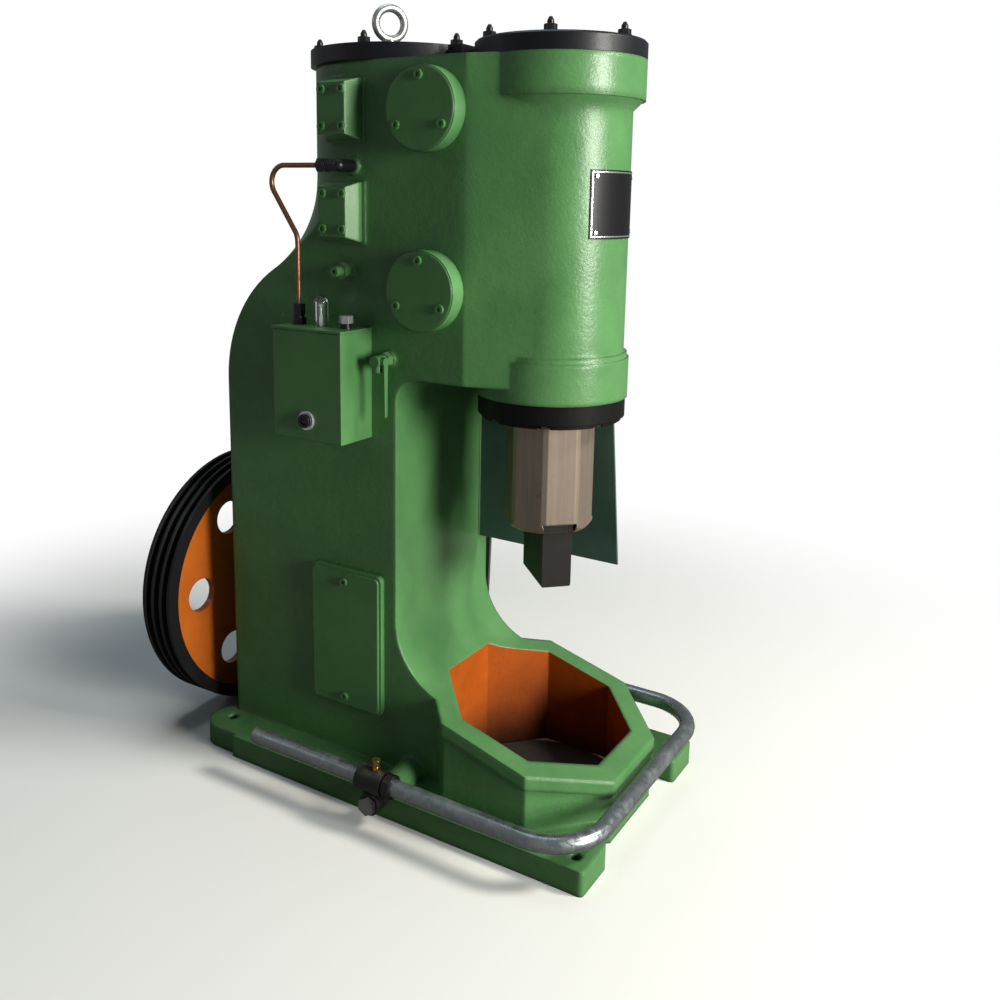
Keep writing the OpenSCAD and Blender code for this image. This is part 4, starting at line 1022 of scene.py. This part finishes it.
@dataclass
class CrankDrive:
    """Belt pulley, crankshaft, rod and compression piston."""

    crank_z: float = 0.248
    rim: float = 217.4 * MM

    def zone(self, at: Vector, normal: Vector) -> int:
        """Picks a finish number on the pulley: 0 orange web, 1 black rim."""
        reach = math.hypot(at.x, at.z - self.crank_z)
        return 1 if reach > self.rim else 0

    def build(self, shop: Shop) -> None:
        """Dresses the drive."""
        shop.zone("pulley", ["orange", "rim_black"], self.zone)
        shop.dress("turned", "crankshaft", "wrist_pin")
        shop.dress("machined", "con_rod", "con_rod_cap", "pulley_key")
        shop.dress("dark_steel", "con_rod_bolts", "pulley_nut")
        shop.dress("iron", "compression_piston", "compression_rings")
        log.info("crank drive dressed")


@dataclass
class Treadle:
    """Bent pipe treadle with its brackets, shaft, rods and valves."""

    def build(self, shop: Shop) -> None:
        """Dresses the treadle and the valve gear."""
        shop.dress("zinc", "treadle_tube")
        shop.dress("black_small", "near_bracket", "far_bracket", "tube_collars")
        shop.dress("brass", "oil_nipples")
        shop.dress("machined", "cross_shaft", "lower_valve", "upper_valve")
        shop.dress("dark_steel", "shaft_lever", "lower_lever", "upper_lever")
        shop.dress("machined", "pull_rod", "link_rod")
        log.info("treadle dressed")


# Studio


@dataclass
class Lamp:
    """One soft area light."""

    name: str
    at: Point
    aim: Point
    size: float
    power: float
    colour: tuple[float, float, float] = (1.0, 1.0, 1.0)

    def build(self) -> None:
        """Adds the light to the scene."""
        data = bpy.data.lights.new(self.name, "AREA")
        data.shape = "DISK"
        data.size = self.size
        data.energy = self.power
        data.color = self.colour
        lamp = bpy.data.objects.new(self.name, data)
        lamp.location = self.at
        lamp.rotation_euler = (Vector(self.aim) - Vector(self.at)).to_track_quat("-Z", "Y").to_euler()
        bpy.context.scene.collection.objects.link(lamp)


@dataclass
class Studio:
    """Camera, pale floor, soft lights and a plain world."""

    eye: Point = (-1.39929, -0.735594, 0.97964)
    yaw: float = -1.018
    pitch: float = 0.182
    roll: float = 0.016
    lens: float = 36.7805
    shift: tuple[float, float] = (0.017788, -0.115357)
    sensor: float = 36.0
    sight: float = 60.0
    floor_radius: float = 9.0
    floor_sides: int = 96
    floor_at: Point = (0.0, 0.25, -0.0004)
    floor_fade: tuple[float, float] = (0.7, 1.7)
    floor_damp: float = 0.82
    # centre and soft edge of the painted shade: a dark disc on the floor under the open anvil well
    well_shade_centre: Point = (0.0, -0.244, 0.0)
    well_shade_edge: tuple[float, float] = (0.146, 0.153)
    gloss_share: float = 0.18
    ambient: tuple[float, float, float, float] = (0.78, 0.94, 1.0, 1.0)
    ambient_strength: float = 0.036
    lamps: list[Lamp] = field(
        default_factory=lambda: [
            Lamp("key", (0.7, -2.9, 3.1), (0.0, 0.1, 0.6), 0.9, 135.0, (1.0, 0.97, 0.88)),
            Lamp("front", (-0.5, -3.95, 1.3), (0.0, 0.2, 0.6), 1.6, 210.0, (1.0, 0.98, 0.92)),
            Lamp("sky", (0.2, 0.6, 3.5), (0.0, 0.3, 0.0), 1.8, 20.0, (0.72, 0.90, 1.0)),
            Lamp("back", (-1.7, 3.2, 2.4), (0.0, 0.4, 0.6), 1.0, 6.0, (0.85, 0.93, 1.0)),
        ]
    )

    def camera(self) -> None:
        """Adds the camera at the photograph's viewing angle."""
        yaw, pitch, roll = self.yaw, self.pitch, self.roll
        level = Vector((-math.sin(yaw), math.cos(yaw), 0.0))
        forward = level * math.cos(pitch) - Vector((0.0, 0.0, math.sin(pitch)))
        right = Vector((math.cos(yaw), math.sin(yaw), 0.0))
        up = right.cross(forward)
        side = right * math.cos(roll) + up * math.sin(roll)
        top = up * math.cos(roll) - right * math.sin(roll)
        data = bpy.data.cameras.new("view")
        data.sensor_width = self.sensor
        data.lens = self.lens
        data.shift_x, data.shift_y = self.shift
        data.clip_end = self.sight
        camera = bpy.data.objects.new("view", data)
        turn = Matrix((side, top, -forward)).transposed()
        camera.matrix_world = Matrix.Translation(self.eye) @ turn.to_4x4()
        bpy.context.scene.collection.objects.link(camera)
        bpy.context.scene.camera = camera

    def backdrop_share(self, g: Graph, rays: bpy.types.Node) -> bpy.types.NodeSocket:
        """Works out how much of the white background a ray meets.

        Args:
            g: the graph that asks.
            rays: its Light Path node.

        Returns:
            All of it for the camera and through glass, a share for gloss.
        """
        glossy = g.math("MULTIPLY", rays.outputs["Is Glossy Ray"], self.gloss_share)
        clear = g.math("MAXIMUM", rays.outputs["Is Camera Ray"], rays.outputs["Is Transmission Ray"])
        return g.math("MAXIMUM", clear, glossy)

    def floor(self) -> None:
        """Adds a pale floor that fades into the white background, with a dark disc of painted shade under the
        anvil well.
        """
        mesh = bpy.data.meshes.new("floor")
        solid = bmesh.new()
        bmesh.ops.create_circle(solid, cap_ends=True, segments=self.floor_sides, radius=self.floor_radius)
        solid.to_mesh(mesh)
        solid.free()
        floor = bpy.data.objects.new("floor", mesh)
        floor.location = self.floor_at
        bpy.context.scene.collection.objects.link(floor)
        material, g, shader = surface("pale_floor")
        shader.inputs["Roughness"].default_value = 0.85
        place = g.place()
        length = g.add("VectorMath", operation="LENGTH")
        g.feed(length.inputs[0], place)
        far = g.span(length.outputs["Value"], *self.floor_fade)
        mottled = g.noise(place, 3.0, 4.0, 0.6)
        pale = g.mix(g.math("MULTIPLY", mottled, 0.12), paint("f1f1ef"), paint("dcdbd8"))
        rays = g.add("LightPath")
        indirect = g.math("MAXIMUM", rays.outputs["Is Diffuse Ray"], rays.outputs["Is Glossy Ray"])
        pale = g.mix(g.math("MULTIPLY", indirect, self.floor_damp), pale, paint("3f3a2a"))
        # painted shade: the floor under the open anvil well turns dark, so the well looks shaded inside
        well_shade = g.add("VectorMath", operation="DISTANCE")
        g.feed(well_shade.inputs[0], place)
        well_shade.inputs[1].default_value = self.well_shade_centre
        outside_well_shade = g.span(well_shade.outputs["Value"], *self.well_shade_edge)
        g.feed(shader.inputs["Base Color"], g.mix(outside_well_shade, paint("2b2723"), pale))
        white = g.add("Emission")
        white.inputs["Color"].default_value = WHITE
        white.inputs["Strength"].default_value = 1.0
        seen = self.backdrop_share(g, rays)
        blend = g.add("MixShader")
        g.feed(blend.inputs[0], g.math("MULTIPLY", far, seen))
        g.feed(blend.inputs[1], shader.outputs[0])
        g.feed(blend.inputs[2], white.outputs[0])
        output = next(n for n in material.node_tree.nodes if n.type == "OUTPUT_MATERIAL")
        g.feed(output.inputs["Surface"], blend.outputs[0])
        mesh.materials.append(material)

    def world(self) -> None:
        """Sets a soft, faintly blue surround that shows as white to the camera."""
        world = bpy.data.worlds.new("studio")
        bpy.context.scene.world = world
        world.use_nodes = True
        world.node_tree.nodes.clear()
        g = Graph(world.node_tree)
        soft = g.add("Background")
        soft.inputs["Color"].default_value = self.ambient
        soft.inputs["Strength"].default_value = self.ambient_strength
        white = g.add("Background")
        white.inputs["Color"].default_value = WHITE
        white.inputs["Strength"].default_value = 1.0
        rays = g.add("LightPath")
        blend = g.add("MixShader")
        g.feed(blend.inputs[0], self.backdrop_share(g, rays))
        g.feed(blend.inputs[1], soft.outputs[0])
        g.feed(blend.inputs[2], white.outputs[0])
        g.feed(g.add("OutputWorld").inputs["Surface"], blend.outputs[0])

    def build(self) -> None:
        """Builds the whole studio."""
        self.camera()
        self.floor()
        self.world()
        for lamp in self.lamps:
            lamp.build()
        bpy.context.scene.view_settings.view_transform = "Standard"
        log.info("studio ready with %d lamps", len(self.lamps))


def main() -> None:
    """Loads the frame, then builds the studio and every sub-assembly in order."""
    logging.basicConfig(level=logging.INFO, format="%(name)s: %(message)s")
    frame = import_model()
    Studio().build()
    shop = Shop(frame["nodes"], Finishes())
    sections = [
        FrameCasting(), Covers(), ValveChest(), NamePlate(), Lubricator(), DrainCock(), RamUnit(),
        CrankDrive(), Treadle(),
    ]
    for section in sections:
        section.build(shop)
        log.info("%s done", type(section).__name__)


if __name__ == "__main__":
    main()
